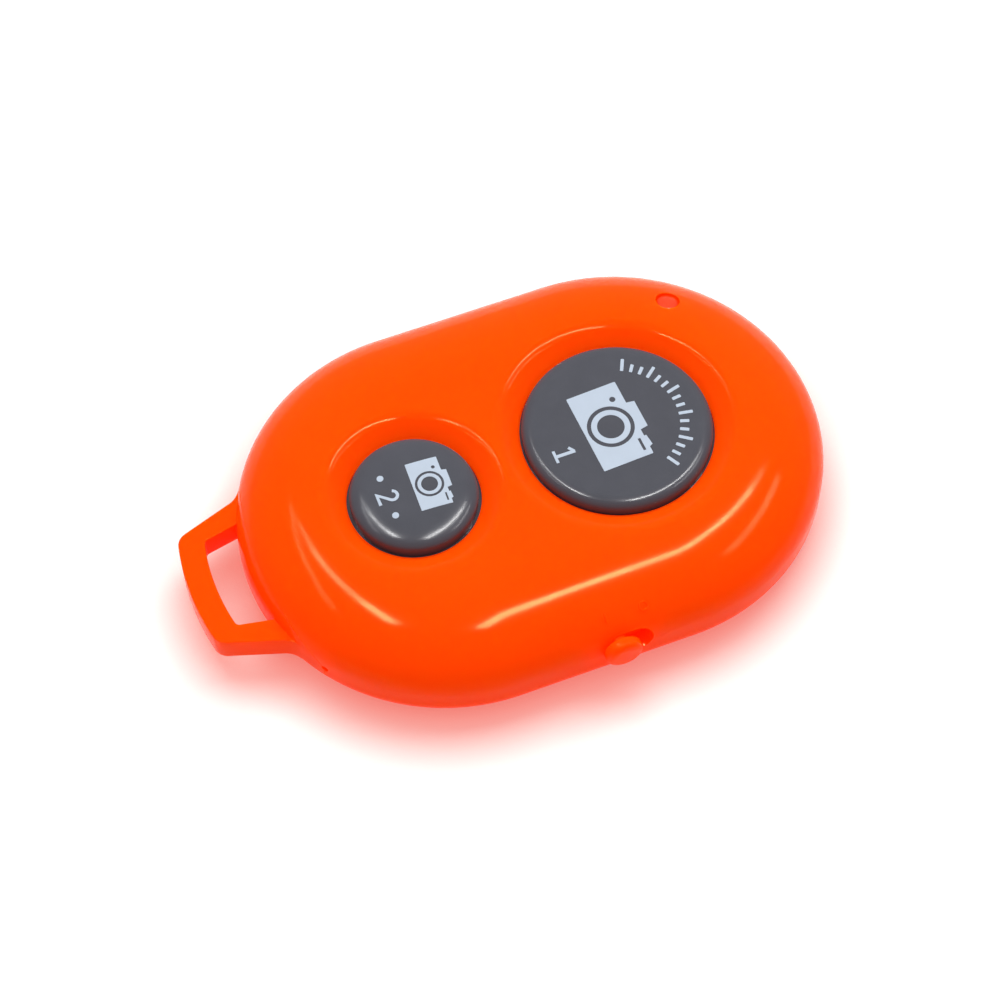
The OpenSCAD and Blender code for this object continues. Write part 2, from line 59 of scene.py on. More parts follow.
FRONT_LOW, FRONT_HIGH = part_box("front_shell")
REAR_LOW, REAR_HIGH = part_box("rear_shell")
LARGE_LOW, LARGE_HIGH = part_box("large_button_cap")
SMALL_LOW, SMALL_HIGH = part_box("small_button_cap")
KNOB_LOW, KNOB_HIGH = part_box("power_slider_knob")
BOARD_LOW, BOARD_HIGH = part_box("circuit_board")
LENS_LOW, LENS_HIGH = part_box("indicator_light_pipe")


def size(name, default, description):
    """A length that the sidebar shows in the scene's unit."""
    return FloatProperty(name=name, description=description, default=default,
                         min=0, unit='LENGTH', precision=5)


def tint(name, default, description):
    """A linear colour."""
    return FloatVectorProperty(name=name, description=description, default=default,
                               size=3, min=0, max=1, subtype='COLOR')


class RemoteHousing(PropertyGroup):
    length: size("Body Length", 2 * FRONT_HIGH.x, "Length of the oval body")
    width: size("Body Width", FRONT_HIGH.y - FRONT_LOW.y, "Width of the oval body")
    height: size("Body Height", FRONT_HIGH.z, "Height of the flat top")
    widest: size("Widest Line", 0.0039, "Height where the rounding of the top starts")
    shoulder_run: size("Shoulder Run", 0.0076, "How far the rounding of the top reaches in")
    under_run: size("Underside Run", 0.0037, "How far the underside curves in")
    under_rise: size("Underside Rise", 0.0027, "Height where the underside starts to curve in")
    seam: size("Seam Height", 0.0015, "Height of the seam between the shells")
    wall: size("Wall", 0.0012, "Thickness of the shells")
    edge: size("Edge Rounding", 0.00012, "Rounding of the seam's edges")
    dish_width: size("Dish Width", 0.0024, "Width of the dished ring around a button")
    dish_round: size("Dish Rounding", 0.0018, "Rounding of the dished ring's outer edge")
    dish_slope: FloatProperty(name="Dish Slope", description="Slope of the dished ring beside the button",
                              default=math.radians(35), min=0, max=math.radians(60), subtype='ANGLE')
    bore_gap: size("Button Gap", 0.00015, "Gap around a button")
    tab_half: size("Tab Half Width", 0.0092, "Half the width of the tab at the loop")
    tab_top: size("Tab Height", 0.0061, "Height of the tab's top")
    tab_shoulder: size("Tab Shoulder", 0.003, "Height where the tab's sides turn into its arch")
    seam_gap: size("Seam Gap", 0.00008, "Gap between the shells along the arch")
    colour: tint("Housing Colour", (1.0, 0.08, 0.0004), "Colour of the glossy housing")


class RemoteLoop(PropertyGroup):
    reach: size("Loop Reach", 0.0045, "How far the loop stands out from the body")
    bar: size("Cross Bar", 0.002, "Width of the cross bar")
    arm: size("Arm", 0.0016, "Width of an arm")
    half: size("Half Width", 0.0061, "Half width over the arms at the body")
    taper: FloatProperty(name="Taper", description="How much narrower each side gets for each length outward",
                         default=0.33, min=0, max=1)
    low: size("Underside", 0.0022, "Height of the loop's underside")
    high: size("Top", 0.0044, "Height of the loop's top")
    edge: size("Loop Edge", 0.0004, "Rounding of the loop's long edges")


class RemoteButtons(PropertyGroup):
    large_top: size("Large Button Top", 0.0083, "Height of the large button's top")
    large_run: size("Large Edge Run", 0.00105, "How far the rounding of the large button's edge reaches in")
    large_drop: size("Large Edge Drop", 0.0007, "How far the rounding of the large button's edge falls")
    small_top: size("Small Button Top", 0.00872, "Height of the small button's top")
    small_run: size("Small Edge Run", 0.0028, "How far the rounding of the small button's edge reaches in")
    small_drop: size("Small Edge Drop", 0.0009, "How far the rounding of the small button's edge falls")
    small_play: size("Small Button Play", 0.0001, "How much smaller the small button is than its bore allows")
    ink: size("Ink Thickness", 0.00002, "Thickness of the printed marks")
    colour: tint("Button Colour", (0.084, 0.086, 0.103), "Colour of the buttons")
    print_colour: tint("Print Colour", (0.51, 0.585, 0.69), "Colour of the printed marks")


class RemoteSlider(PropertyGroup):
    run: size("Knob Edge Run", 0.0007, "How far the rounding of the knob's face reaches in")
    drop: size("Knob Edge Drop", 0.00045, "How far the rounding of the knob's face falls")
    slot_radius: size("Slot Radius", 0.00108, "Radius of the slot's round ends")
    mark_height: size("Mark Height", 0.00006, "How far the moulded marks above the slot stand out")
    mark_size: size("Mark Size", 0.0008, "Length of the moulded marks")


class RemoteInside(PropertyGroup):
    mask_colour: tint("Board Colour", (0.01, 0.09, 0.04), "Colour of the solder mask")
    track_colour: tint("Track Colour", (0.03, 0.17, 0.07), "Colour of the mask over the copper tracks")
    copper_colour: tint("Pad Colour", (0.8, 0.55, 0.2), "Colour of the plated pads")
    soften: size("Edge Softening", 0.00004, "Rounding of the edges of the parts inside")


def mm(value):
    """A stored length in millimetres, in which the meshes are modelled."""
    return value / MM


def settings():
    """The groups of sizes and colours: housing, loop, buttons, slider and inside."""
    scene = bpy.context.scene
    return (scene.remote_housing, scene.remote_loop, scene.remote_buttons, scene.remote_slider,
            scene.remote_inside)


# Outlines, in millimetres

ROUND_STEPS = 36
END_STEPS = 72
STRAIGHT_STEPS = 10
FULL_TURN = 2 * math.pi
NEAR = 0.03
DISH_NEAR = 0.008
RIM_TURN = math.radians(4)
RIM_MARGIN = 0.068
LEVEL_SHARE = 0.9999
SAME_WAY = 0.6
CREASE = math.radians(35)
FLANGE = 0.8
BUTTONS = [((low.x + high.x) / 2 / MM, (high.x - low.x) / 2 / MM - FLANGE)
           for low, high in ((LARGE_LOW, LARGE_HIGH), (SMALL_LOW, SMALL_HIGH))]


def quarter(outer, start, run, rise, steps=ROUND_STEPS):
    """Points of a rounding, upright at (outer, start) and level at (outer - run, start + rise)."""
    turns = [math.pi / 2 * i / steps for i in range(steps + 1)]
    return [(outer - run + run * math.cos(t), start + rise * math.sin(t)) for t in turns]


def arc(centre, radius, start, end, steps):
    """Points of an arc about a centre, with its angles in degrees."""
    turns = [math.radians(start + (end - start) * i / steps) for i in range(steps + 1)]
    return [(centre[0] + radius * math.cos(t), centre[1] + radius * math.sin(t)) for t in turns]


class Body:
    """The oval body's sizes in millimetres, and the direction that its surface faces."""

    def __init__(self):
        housing = settings()[0]
        self.radius = mm(housing.width) / 2
        self.axis = mm(housing.length) / 2 - self.radius
        self.top = mm(housing.height)
        self.widest = mm(housing.widest)
        self.run = mm(housing.shoulder_run)
        self.rise = self.top - self.widest
        self.under_run = mm(housing.under_run)
        self.under_rise = mm(housing.under_rise)
        self.flat = self.radius - self.run
        self.wall = mm(housing.wall)
        self.seam = mm(housing.seam)
        self.dish_width = mm(housing.dish_width)
        self.dish_round = mm(housing.dish_round)
        self.dish_slope = housing.dish_slope
        self.bore_gap = mm(housing.bore_gap)

    def outline(self):
        """Half outline of the outside, from the edge of the underside to the edge of the flat top."""
        low = quarter(self.radius, self.under_rise, self.under_run, -self.under_rise, ROUND_STEPS // 2)
        return low[::-1] + quarter(self.radius, self.widest, self.run, self.rise)

    def inside(self):
        """The rounding of the front shell's inner surface."""
        return quarter(self.radius - self.wall, self.widest, self.run - self.wall, self.rise - self.wall, 18)

    def above(self, x, y):
        """Height of the flat top or its rounding over a place, and how it rises along X and Y."""
        past = max(abs(x) - self.axis, 0) * (1 if x > 0 else -1)
        out = math.hypot(past, y)
        share = min(max((out - self.flat) / self.run, 0), 0.999)
        level = math.sqrt(1 - share * share)
        fall = -self.rise / self.run * share / level
        return self.widest + self.rise * level, past * fall / max(out, NEAR), y * fall / max(out, NEAR)

    def sink(self, out):
        """Depth and slope of a dished ring at a distance from its button's side."""
        across = self.dish_width - out
        rounding = self.dish_round * math.sin(self.dish_slope)
        if across <= 0:
            return 0, 0
        if across < rounding:
            turn = math.asin(across / self.dish_round)
            return self.dish_round * (1 - math.cos(turn)), math.tan(turn)
        slope = math.tan(self.dish_slope)
        return self.dish_round * (1 - math.cos(self.dish_slope)) + (across - rounding) * slope, slope

    def dished(self, point, near, margin):
        """The direction that a dished ring faces at a point on it, or None for a point elsewhere."""
        x, y, z = point
        for centre, radius in BUTTONS:
            reach = math.hypot(x - centre, y)
            out = reach - radius
            if not 0 < out < self.dish_width - margin:
                continue
            depth, slope = self.sink(out)
            height, rise_x, rise_y = self.above(x, y)
            if abs(z - height + depth) < near:
                slope /= reach
                return Vector((-rise_x - slope * (x - centre), -rise_y - slope * y, 1)).normalized()
        return None

    def facing(self, point, middle=None):
        """The direction that the outside faces at a point of a face with a given middle, or None."""
        ring = self.dished(middle or point, DISH_NEAR, RIM_MARGIN)
        if ring:
            return self.dished(point, NEAR, 0) or ring
        x, y, z = point
        past = max(abs(x) - self.axis, 0) * (1 if x > 0 else -1)
        out = math.hypot(past, y)
        if z > self.widest:
            share = min((z - self.widest) / self.rise, 1)
            level = math.sqrt(1 - share * share)
            edge, run, rise = self.flat + self.run * level, self.run, self.rise
            if share > LEVEL_SHARE and out <= self.flat + 1:
                return Vector((0, 0, 1))
        elif z > self.under_rise:
            share, level, edge, run, rise = 0, 1, self.radius, 1, 1
        else:
            share = max((z - self.under_rise) / self.under_rise, -1)
            level = math.sqrt(1 - share * share)
            edge, run, rise = self.radius - self.under_run * (1 - level), self.under_run, self.under_rise
            if share < -LEVEL_SHARE and out <= edge + 1:
                return Vector((0, 0, -1))
        if abs(out - edge) > NEAR:
            return None
        across = level / run
        return Vector((past / out * across, y / out * across, share / rise)).normalized()


# Meshes, in millimetres

def chain(bm, points, closed=False):
    """A line of vertices, joined by edges."""
    verts = [bm.verts.new(p) for p in points]
    pairs = list(zip(verts, verts[1:])) + ([(verts[-1], verts[0])] if closed else [])
    return verts, [bm.edges.new(pair) for pair in pairs]


def mend(bm, gap=1e-5):
    """Joins doubled vertices, fills what is open and turns the faces outward."""
    bmesh.ops.remove_doubles(bm, verts=bm.verts, dist=gap)
    rims = [e for e in bm.edges if len(e.link_faces) == 1]
    if rims:
        bmesh.ops.holes_fill(bm, edges=rims, sides=0)
    bmesh.ops.recalc_face_normals(bm, faces=bm.faces)
    return bm


def turned(profile, steps=96, centre=(0, 0), lift=0):
    """A solid turned about an upright axis, from (radius, height) points that end on it or close."""
    bm = bmesh.new()
    closed = profile[0][0] > 0 and profile[-1][0] > 0
    verts, edges = chain(bm, [(r, 0, z + lift) for r, z in profile], closed)
    bmesh.ops.spin(bm, geom=verts + edges, cent=(0, 0, 0), axis=(0, 0, 1), angle=FULL_TURN,
                   steps=steps, use_merge=True)
    bmesh.ops.translate(bm, verts=bm.verts, vec=(*centre, 0))
    return mend(bm)


def oval(profile, axis):
    """A solid with an oval outline: a half outline swept round both ends and along both sides."""
    bm = bmesh.new()
    verts, edges = chain(bm, [(axis, -r, z) for r, z in profile])
    geometry = verts + edges
    for side in (1, -1):
        swept = bmesh.ops.spin(bm, geom=geometry, cent=(side * axis, 0, 0), axis=(0, 0, 1),
                               angle=math.pi, steps=END_STEPS)
        step = (-side * 2 * axis / STRAIGHT_STEPS, 0, 0)
        moved = bmesh.ops.spin(bm, geom=swept["geom_last"], cent=(0, 0, 0), axis=(0, 0, 1), angle=0,
                               dvec=step, steps=STRAIGHT_STEPS)
        geometry = moved["geom_last"]
    return mend(bm, 1e-4)


def slab(points, depth, along=(0, 0, 1)):
    """A flat outline with a thickness along a direction."""
    bm = bmesh.new()
    face = bm.faces.new([bm.verts.new(p) for p in points])
    grown = bmesh.ops.extrude_face_region(bm, geom=[face])
    moved = [g for g in grown["geom"] if isinstance(g, bmesh.types.BMVert)]
    bmesh.ops.translate(bm, verts=moved, vec=Vector(along) * depth)
    bmesh.ops.recalc_face_normals(bm, faces=bm.faces)
    return bm


def box(low, high):
    """A box between two corners."""
    bm = bmesh.new()
    bmesh.ops.create_cube(bm, size=1)
    low, high = Vector(low), Vector(high)
    bmesh.ops.scale(bm, verts=bm.verts, vec=high - low)
    bmesh.ops.translate(bm, verts=bm.verts, vec=(low + high) / 2)
    return bm


def rounded_edges(bm, width, segments=2, angle=30, only=None):
    """Rounds the edges that turn by more than an angle."""
    sharp = [e for e in bm.edges if len(e.link_faces) == 2
             and e.calc_face_angle(0) > math.radians(angle) and (only is None or only(e))]
    if sharp:
        bmesh.ops.bevel(bm, geom=sharp, offset=width, offset_type='OFFSET', segments=segments,
                        profile=0.5, affect='EDGES', clamp_overlap=True, material=-1, loop_slide=True)
    return bm


def mesh_of(name, bm):
    """A bmesh as a mesh of its own."""
    mesh = bpy.data.meshes.new(name)
    bm.to_mesh(mesh)
    bm.free()
    return mesh


def shown(name, data):
    """A mesh, lamp or camera as an object in the scene."""
    thing = bpy.data.objects.new(name, data)
    bpy.context.scene.collection.objects.link(thing)
    return thing


def joined(*parts):
    """Several meshes as one."""
    whole = bmesh.new()
    for part in parts:
        mesh = mesh_of("part", part)
        whole.from_mesh(mesh)
        bpy.data.meshes.remove(mesh)
    return whole


def shifted(bm, *place):
    bmesh.ops.translate(bm, verts=bm.verts, vec=place)
    return bm


def rotated(bm, angle, axis):
    """Turns a mesh about an axis through the origin."""
    bmesh.ops.rotate(bm, verts=bm.verts, cent=(0, 0, 0), matrix=Matrix.Rotation(angle, 3, axis))
    return bm


def pin(x, y, radius, low, depth, steps=32):
    """An upright cylinder at a place, from a height upwards."""
    return shifted(turned([(0, 0), (radius, 0), (radius, depth), (0, depth)], steps), x, y, low)


def tidy(bm, gap=0.012):
    """Clears the slivers that cutting leaves, and closes what stays open."""
    bmesh.ops.remove_doubles(bm, verts=bm.verts, dist=gap)
    bmesh.ops.dissolve_degenerate(bm, edges=bm.edges, dist=gap)
    return mend(bm)


def carved(bm, *steps):
    """Cuts, joins or crosses a mesh with others, given as (operation, mesh) pairs."""
    whole = shown("whole", mesh_of("whole", bm))
    tools = []
    for operation, tool in steps:
        tools.append(shown("tool", mesh_of("tool", tool)))
        cut = whole.modifiers.new("cut", 'BOOLEAN')
        cut.operation = operation
        cut.solver = 'EXACT'
        cut.object = tools[-1]
    shaped = whole.evaluated_get(bpy.context.evaluated_depsgraph_get())
    result = bmesh.new()
    result.from_mesh(shaped.to_mesh())
    for thing in [whole, *tools]:
        mesh = thing.data
        bpy.data.objects.remove(thing)
        bpy.data.meshes.remove(mesh)
    return result


def piece(name, bm, body, material, slot, replaces=(), facing=None):
    """A finished piece: its mesh goes to metres and rides on a CAD body."""
    mesh = mesh_of(name, bm)
    mesh.polygons.foreach_set("use_smooth", [True] * len(mesh.polygons))
    mesh.set_sharp_from_angle(angle=CREASE)
    if facing:
        normals = [Vector((0, 0, 0))] * len(mesh.loops)
        for polygon in mesh.polygons:
            for index in polygon.loop_indices:
                direction = facing(mesh.vertices[mesh.loops[index].vertex_index].co, polygon.center)
                if direction and direction.dot(polygon.normal) > SAME_WAY:
                    normals[index] = direction
        mesh.normals_split_custom_set(normals)
    mesh.transform(Matrix.Scale(MM, 4))
    mesh.materials.append(material)
    thing = shown(name, mesh)
    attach(thing, body)
    if replaces:
        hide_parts(*replaces)
    return thing


# Materials

def feed(tree, value, place):
    """Links a socket to an input, or sets the input to a value."""
    if isinstance(value, bpy.types.NodeSocket):
        tree.links.new(value, place)
    else:
        place.default_value = value


def node(tree, kind, **values):
    """A shader node, with its named inputs linked or set."""
    made = tree.nodes.new('ShaderNode' + kind)
    for label, value in values.items():
        feed(tree, value, made.inputs[label.replace("_", " ")])
    return made


def maths(tree, operation, *values):
    """A Math node; its values are numbers or sockets."""
    made = node(tree, 'Math')
    made.operation = operation
    for place, value in zip(made.inputs, values):
        feed(tree, value, place)
    return made.outputs[0]


def vector_maths(tree, operation, vector, place, value):
    """A Vector Math node on a vector and the value of another of its inputs."""
    made = node(tree, 'VectorMath')
    made.operation = operation
    feed(tree, vector, made.inputs[0])
    feed(tree, value, made.inputs[place])
    return made.outputs[0]


def noise(tree, vector, scale, detail, rough=0.5):
    made = node(tree, 'TexNoise', Vector=vector, Scale=scale, Detail=detail, Roughness=rough)
    return made.outputs['Fac']


def mixed(tree, share, first, second):
    """A colour between two colours; a Mix node's colours are its sockets 6 and 7, and 2 comes out."""
    made = node(tree, 'Mix')
    made.data_type = 'RGBA'
    feed(tree, share, made.inputs['Factor'])
    for value, place in ((first, made.inputs[6]), (second, made.inputs[7])):
        feed(tree, value if isinstance(value, bpy.types.NodeSocket) else (*value, 1), place)
    return made.outputs[2]


def places(tree, kind='Object'):
    """The object's own coordinates, or its normal: the whole vector, and X, Y and Z."""
    vector = node(tree, 'TexCoord').outputs[kind]
    split = node(tree, 'SeparateXYZ')
    feed(tree, vector, split.inputs[0])
    return vector, *split.outputs


GRAIN_INPUTS = (("Colour", "Color", (0.5, 0.5, 0.5, 1)), ("Shade", "Float", 0.05),
                ("Roughness", "Float", 0.3), ("Spread", "Float", 0.1), ("Scale", "Float", 1000.0),
                ("Stretch", "Vector", (1.0, 1.0, 1.0)))
GRAIN_OUTPUTS = (("Colour", "Color"), ("Roughness", "Float"), ("Height", "Float"))
BROAD_SCALE = 0.12
BROAD_SHARE = 1.4
FINE_SHARE = 0.6


def surface_grain():
    """Node group: a colour, a roughness and a height that vary finely over a surface."""
    name = "Surface Grain"
    if name in bpy.data.node_groups:
        return bpy.data.node_groups[name]
    tree = bpy.data.node_groups.new(name, 'ShaderNodeTree')
    for label, kind, value in GRAIN_INPUTS:
        made = tree.interface.new_socket(name=label, in_out='INPUT', socket_type='NodeSocket' + kind)
        made.default_value = value
    for label, kind in GRAIN_OUTPUTS:
        tree.interface.new_socket(name=label, in_out='OUTPUT', socket_type='NodeSocket' + kind)
    given = tree.nodes.new('NodeGroupInput').outputs
    made = tree.nodes.new('NodeGroupOutput').inputs
    vector = vector_maths(tree, 'MULTIPLY', places(tree)[0], 1, given["Stretch"])
    fine = noise(tree, vector, given["Scale"], 3.0, 0.6)
    broad = noise(tree, vector, maths(tree, 'MULTIPLY', given["Scale"], BROAD_SCALE), 2.0)
    both = maths(tree, 'ADD', maths(tree, 'MULTIPLY', broad, BROAD_SHARE),
                 maths(tree, 'MULTIPLY', fine, FINE_SHARE))
    swing = maths(tree, 'SUBTRACT', both, 1.0)
    shade = maths(tree, 'MULTIPLY_ADD', swing, given["Shade"], 1.0)
    feed(tree, vector_maths(tree, 'SCALE', given["Colour"], 'Scale', shade), made["Colour"])
    feed(tree, maths(tree, 'MULTIPLY_ADD', swing, given["Spread"], given["Roughness"]), made["Roughness"])
    feed(tree, fine, made["Height"])
    return tree


def finish(name, colour, roughness, shade=0.05, spread=0.05, scale=1500.0, height=0.0, metal=0.0,
           stretch=(1, 1, 1), pattern=None, **constants):
    """A material whose colour, gloss and height vary finely; constants go to the shader's own sockets."""
    if name in bpy.data.materials:
        return bpy.data.materials[name]
    made = bpy.data.materials.new(name)
    made.use_nodes = True
    tree = made.node_tree
    shader = tree.nodes['Principled BSDF']
    grain = node(tree, 'Group')
    grain.node_tree = surface_grain()
    given = {"Colour": pattern(tree, colour) if pattern else (*colour, 1), "Shade": shade,
             "Roughness": roughness, "Spread": spread, "Scale": scale, "Stretch": stretch}
    for label, value in given.items():
        feed(tree, value, grain.inputs[label])
    feed(tree, grain.outputs["Colour"], shader.inputs['Base Color'])
    feed(tree, grain.outputs["Roughness"], shader.inputs['Roughness'])
    if height:
        bump = node(tree, 'Bump', Strength=1.0, Distance=height, Height=grain.outputs["Height"])
        feed(tree, bump.outputs['Normal'], shader.inputs['Normal'])
    for label, value in {"Metallic": metal, **constants}.items():
        shader.inputs[label.replace("_", " ")].default_value = value
    return made


def glossy_housing():
    # The emission is a painted red glow: it keeps the housing bright red in its shade and in the gaps beside
    # the buttons.
    return finish("glossy_housing_plastic", settings()[0].colour, 0.1, shade=0.03, spread=0.04, scale=900.0,
                  height=2e-7, Specular_IOR_Level=0.08, Specular_Tint=(1.0, 0.7, 0.27, 1),
                  Subsurface_Weight=0.5, Subsurface_Radius=(0.003, 0.0008, 0.0003), Subsurface_Scale=1.0,
                  Emission_Color=(1.0, 0.006, 0.0, 1), Emission_Strength=0.36)


def satin_button():
    return finish("satin_button_plastic", settings()[2].colour, 0.18, shade=0.08, spread=0.06, scale=5000.0,
                  height=1e-6, Specular_IOR_Level=0.16)


def button_ink():
    return finish("printed_ink", settings()[2].print_colour, 0.35, shade=0.06, spread=0.1, scale=6000.0,
                  height=1e-6, Specular_IOR_Level=0.16)


def lens_plastic():
    return finish("indicator_lens_plastic", (0.95, 0.062, 0.018), 0.2, shade=0.1, scale=4000.0,
                  Specular_IOR_Level=0.12,
                  Subsurface_Weight=0.4, Subsurface_Radius=(0.001, 0.0003, 0.0002), Subsurface_Scale=1.0)


TRACK_PITCH = 0.0009
TRACK_SHARE = 0.3
TRACK_FIELDS = 260.0
GLASS_FIBRE = (0.32, 0.33, 0.1)
TIN = (0.62, 0.61, 0.58)


def board_pattern(tree, colour):
    """Solder mask over copper tracks, with the bare glass fibre at the board's edge."""
    vector, x, y, z = places(tree)
    paths = None
    for across in (y, x):
        gate = maths(tree, 'GREATER_THAN', noise(tree, vector, TRACK_FIELDS, 0.0), 0.5)
        lane = maths(tree, 'FRACT', maths(tree, 'MULTIPLY', across, 1 / TRACK_PITCH))
        track = maths(tree, 'MULTIPLY', maths(tree, 'LESS_THAN', lane, TRACK_SHARE), gate)
        paths = maths(tree, 'MAXIMUM', paths, track) if paths else track
    masked = mixed(tree, paths, colour, settings()[4].track_colour)
    upright = maths(tree, 'LESS_THAN', maths(tree, 'ABSOLUTE', places(tree, 'Normal')[3]), 0.5)
    return mixed(tree, upright, masked, GLASS_FIBRE)


def ended(low, high):
    """Chips whose tinned ends lie outside a stretch of Y."""
    def pattern(tree, colour):
        y = places(tree)[2]
        middle = maths(tree, 'MULTIPLY', maths(tree, 'GREATER_THAN', y, low),
                       maths(tree, 'LESS_THAN', y, high))
        return mixed(tree, middle, TIN, colour)
    return pattern


def solder_mask():
    return finish("solder_mask", settings()[4].mask_colour, 0.22, shade=0.15, scale=3000.0, height=2e-6,
                  pattern=board_pattern)


def gold_pad():
    return finish("gold_plated_pad", settings()[4].copper_colour, 0.3, shade=0.12, spread=0.1, scale=4000.0,
                  metal=1.0)


INSIDE = {
    "satin_steel": ("steel", (0.56, 0.57, 0.58), 0.3, 0.12, 0.15, 2500.0, 1e-6, 1.0, {}),
    "cell_steel": ("cell_steel", (0.62, 0.62, 0.6), 0.22, 0.1, 0.18, 1200.0, 1e-6, 1.0,
                   {"stretch": (1, 12, 1)}),
    "spring_steel": ("spring_steel", (0.66, 0.6, 0.5), 0.26, 0.12, 0.15, 1800.0, 1e-6, 1.0,
                     {"stretch": (1, 8, 1)}),
    "tinned_metal": ("steel", (0.68, 0.67, 0.64), 0.35, 0.2, 0.2, 4000.0, 3e-6, 1.0, {}),
    "black_plastic": ("black_plastic", (0.018, 0.018, 0.02), 0.45, 0.3, 0.1, 5000.0, 2e-6, 0.0, {}),
    "gasket_plastic": ("plunger", (0.25, 0.38, 0.5), 0.4, 0.1, 0.05, 3000.0, 1e-6, 0.0,
                       {"Subsurface_Weight": 0.3, "Subsurface_Radius": (0.0004, 0.0005, 0.0006),
                        "Subsurface_Scale": 1.0}),
    "plunger_plastic": ("plunger", (0.5, 0.49, 0.46), 0.35, 0.08, 0.05, 4000.0, 1e-6, 0.0, {}),
    "lamp_phosphor": ("lamp", (0.85, 0.72, 0.25), 0.3, 0.1, 0.05, 8000.0, 2e-6, 0.0, {}),
    "capacitor_ceramic": ("capacitor", (0.42, 0.26, 0.13), 0.5, 0.25, 0.05, 6000.0, 3e-6, 0.0,
                          {"pattern": ended(-0.00395, -0.00345)}),
    "resistor_ceramic": ("capacitor", (0.03, 0.03, 0.035), 0.4, 0.3, 0.05, 6000.0, 3e-6, 0.0,
                         {"pattern": ended(0.00525, 0.00575)}),
}


def inside_finish(name):
    """The material of a part inside."""
    slot, *values, others = INSIDE[name]
    return finish(name, *values, **others)


# Shells

FAR = 40
BELOW = -5
ABOVE = 12
BORE_LOW = 5
RING_STEPS = 24
RIM_RUN = 0.6
# What holds a button's bore: how far it reaches past the button, its underside and its top
COLLAR = (1.8, 7, 7.8)
# Where the screws' bosses and the light pipe stand
BOSSES = ((-5, 10.314), (-5, -10.314), (18.2, 0))
LENS = (15.1, 9.4)
LENS_FLOOR = 7.12
# A boss, its screw's hole and the light pipe's bores: radius, underside and height
BOSS = (1.5, 5.7, 1.6)
SCREW_HOLE = (0.63, BORE_LOW, 1.73)
LENS_BORES = ((0.95, LENS_FLOOR, 5), (0.58, BORE_LOW, 5), (1.03, 5.61, 0.8))
# The slider's slot: its two ends along X and its top
SLOT = (-0.1, 3.5, 5.46)
TAB_DEPTH = 0.78
TAB_FOOT = 0.5


def dish_tool(place, radius):
    """What a button's bore and dished ring take out of the top; the ring follows the top's own curve."""
    body = Body()
    bore = radius + body.bore_gap
    rim = body.dish_width - body.dish_round * math.sin(RIM_TURN)
    profile = [(0, BORE_LOW), (bore, BORE_LOW)]
    for i in range(RING_STEPS + 1):
        out = body.bore_gap + (rim - body.bore_gap) * i / RING_STEPS
        profile.append((radius + out, body.top - body.sink(out)[0]))
    edge, height = profile[-1]
    profile += [(edge + RIM_RUN, height + RIM_RUN * math.tan(RIM_TURN)), (edge + RIM_RUN, ABOVE), (0, ABOVE)]
    tool = turned(profile, 128, (place, 0))
    for vert in tool.verts:
        if vert.co.z > BORE_LOW + 1:
            vert.co.z += body.above(vert.co.x, vert.co.y)[0] - body.top
    return tool


def arch_tool(outside, gap):
    """The outline of the tab at the loop's end, swept in from outside."""
    housing, body = settings()[0], Body()
    half, top, low = mm(housing.tab_half) - gap, mm(housing.tab_top) - gap, mm(housing.tab_shoulder)
    inner = body.radius - body.wall - TAB_DEPTH
    depth = body.radius - math.sqrt(inner ** 2 - mm(housing.tab_half) ** 2)
    arch = quarter(half, low, half, top - low, 32)
    start, foot = -body.axis - body.radius - outside, body.seam - TAB_FOOT
    points = [(half, foot)] + arch + [(-y, z) for y, z in arch[-2::-1]] + [(-half, foot)]
    return slab([(start, y, z) for y, z in points], depth + outside, (1, 0, 0))


def slot_tool():
    """The slider's slot: a stadium in X and Z, cut in along Y."""
    (start, end, top), near, depth = SLOT, -18, 4
    radius = mm(settings()[3].slot_radius)
    half = (end - start) / 2 - radius
    points = [(half + x, y) for x, y in arc((0, 0), radius, -90, 90, 16)]
    points += [(x - half, y) for x, y in arc((0, 0), radius, 90, 270, 16)]
    tool = slab([(x, 0, z) for x, z in points], depth, (0, 1, 0))
    return shifted(tool, (start + end) / 2, near, top - radius)


def outside_edges(body):
    """A test for edges where a cut meets the outside of the body."""
    def on_body(face):
        return all(body.facing(v.co) for v in face.verts) and \
            body.facing(face.verts[0].co).dot(face.normal) > 0.9

    def meets(edge):
        return on_body(edge.link_faces[0]) != on_body(edge.link_faces[1])

    return meets


class REMOTE_OT_front_shell(Operator):
    """Models the front shell: a domed oval with dished rings, the slider's slot and the indicator's hole"""
    bl_idname = "remote.front_shell"
    bl_label = "Front Shell"

    def execute(self, context):
        housing, body = settings()[0], Body()
        over, low, high = COLLAR
        room = [(body.radius - body.wall, -1)] + body.inside()
        cut, add = 'DIFFERENCE', 'UNION'
        steps = [(cut, box((-FAR, -FAR, BELOW), (FAR, FAR, body.seam))), (cut, oval(room, body.axis))]
        for place, radius in BUTTONS:
            collar = [(0, low), (radius + over, low), (radius + over, high), (0, high)]
            steps.append((add, turned(collar, 96, (place, 0))))
        steps += [(add, pin(*place, *BOSS)) for place in BOSSES]
        steps += [(cut, dish_tool(place, radius)) for place, radius in BUTTONS]
        steps += [(cut, pin(*place, *SCREW_HOLE)) for place in BOSSES]
        steps += [(cut, arch_tool(1, 0)), (cut, slot_tool())]
        steps += [(cut, pin(*LENS, *bore)) for bore in LENS_BORES]
        shell = tidy(carved(oval(body.outline(), body.axis), *steps, (cut, pry_notch())))
        rounded_edges(shell, mm(housing.edge), 2, only=outside_edges(body))
        piece("front_shell_glossy", shell, "front_housing", glossy_housing(), "housing", ["front_shell"],
              body.facing)
        return {'FINISHED'}


def crossing(point, along, centre, radius):
    """Where a line meets a circle, on the side that the line runs to."""
    to = Vector(point) - Vector(centre)
    along = Vector(along).normalized()
    half = to.dot(along)
    return Vector(point) + along * (-half + math.sqrt(half * half - to.length_squared + radius * radius))


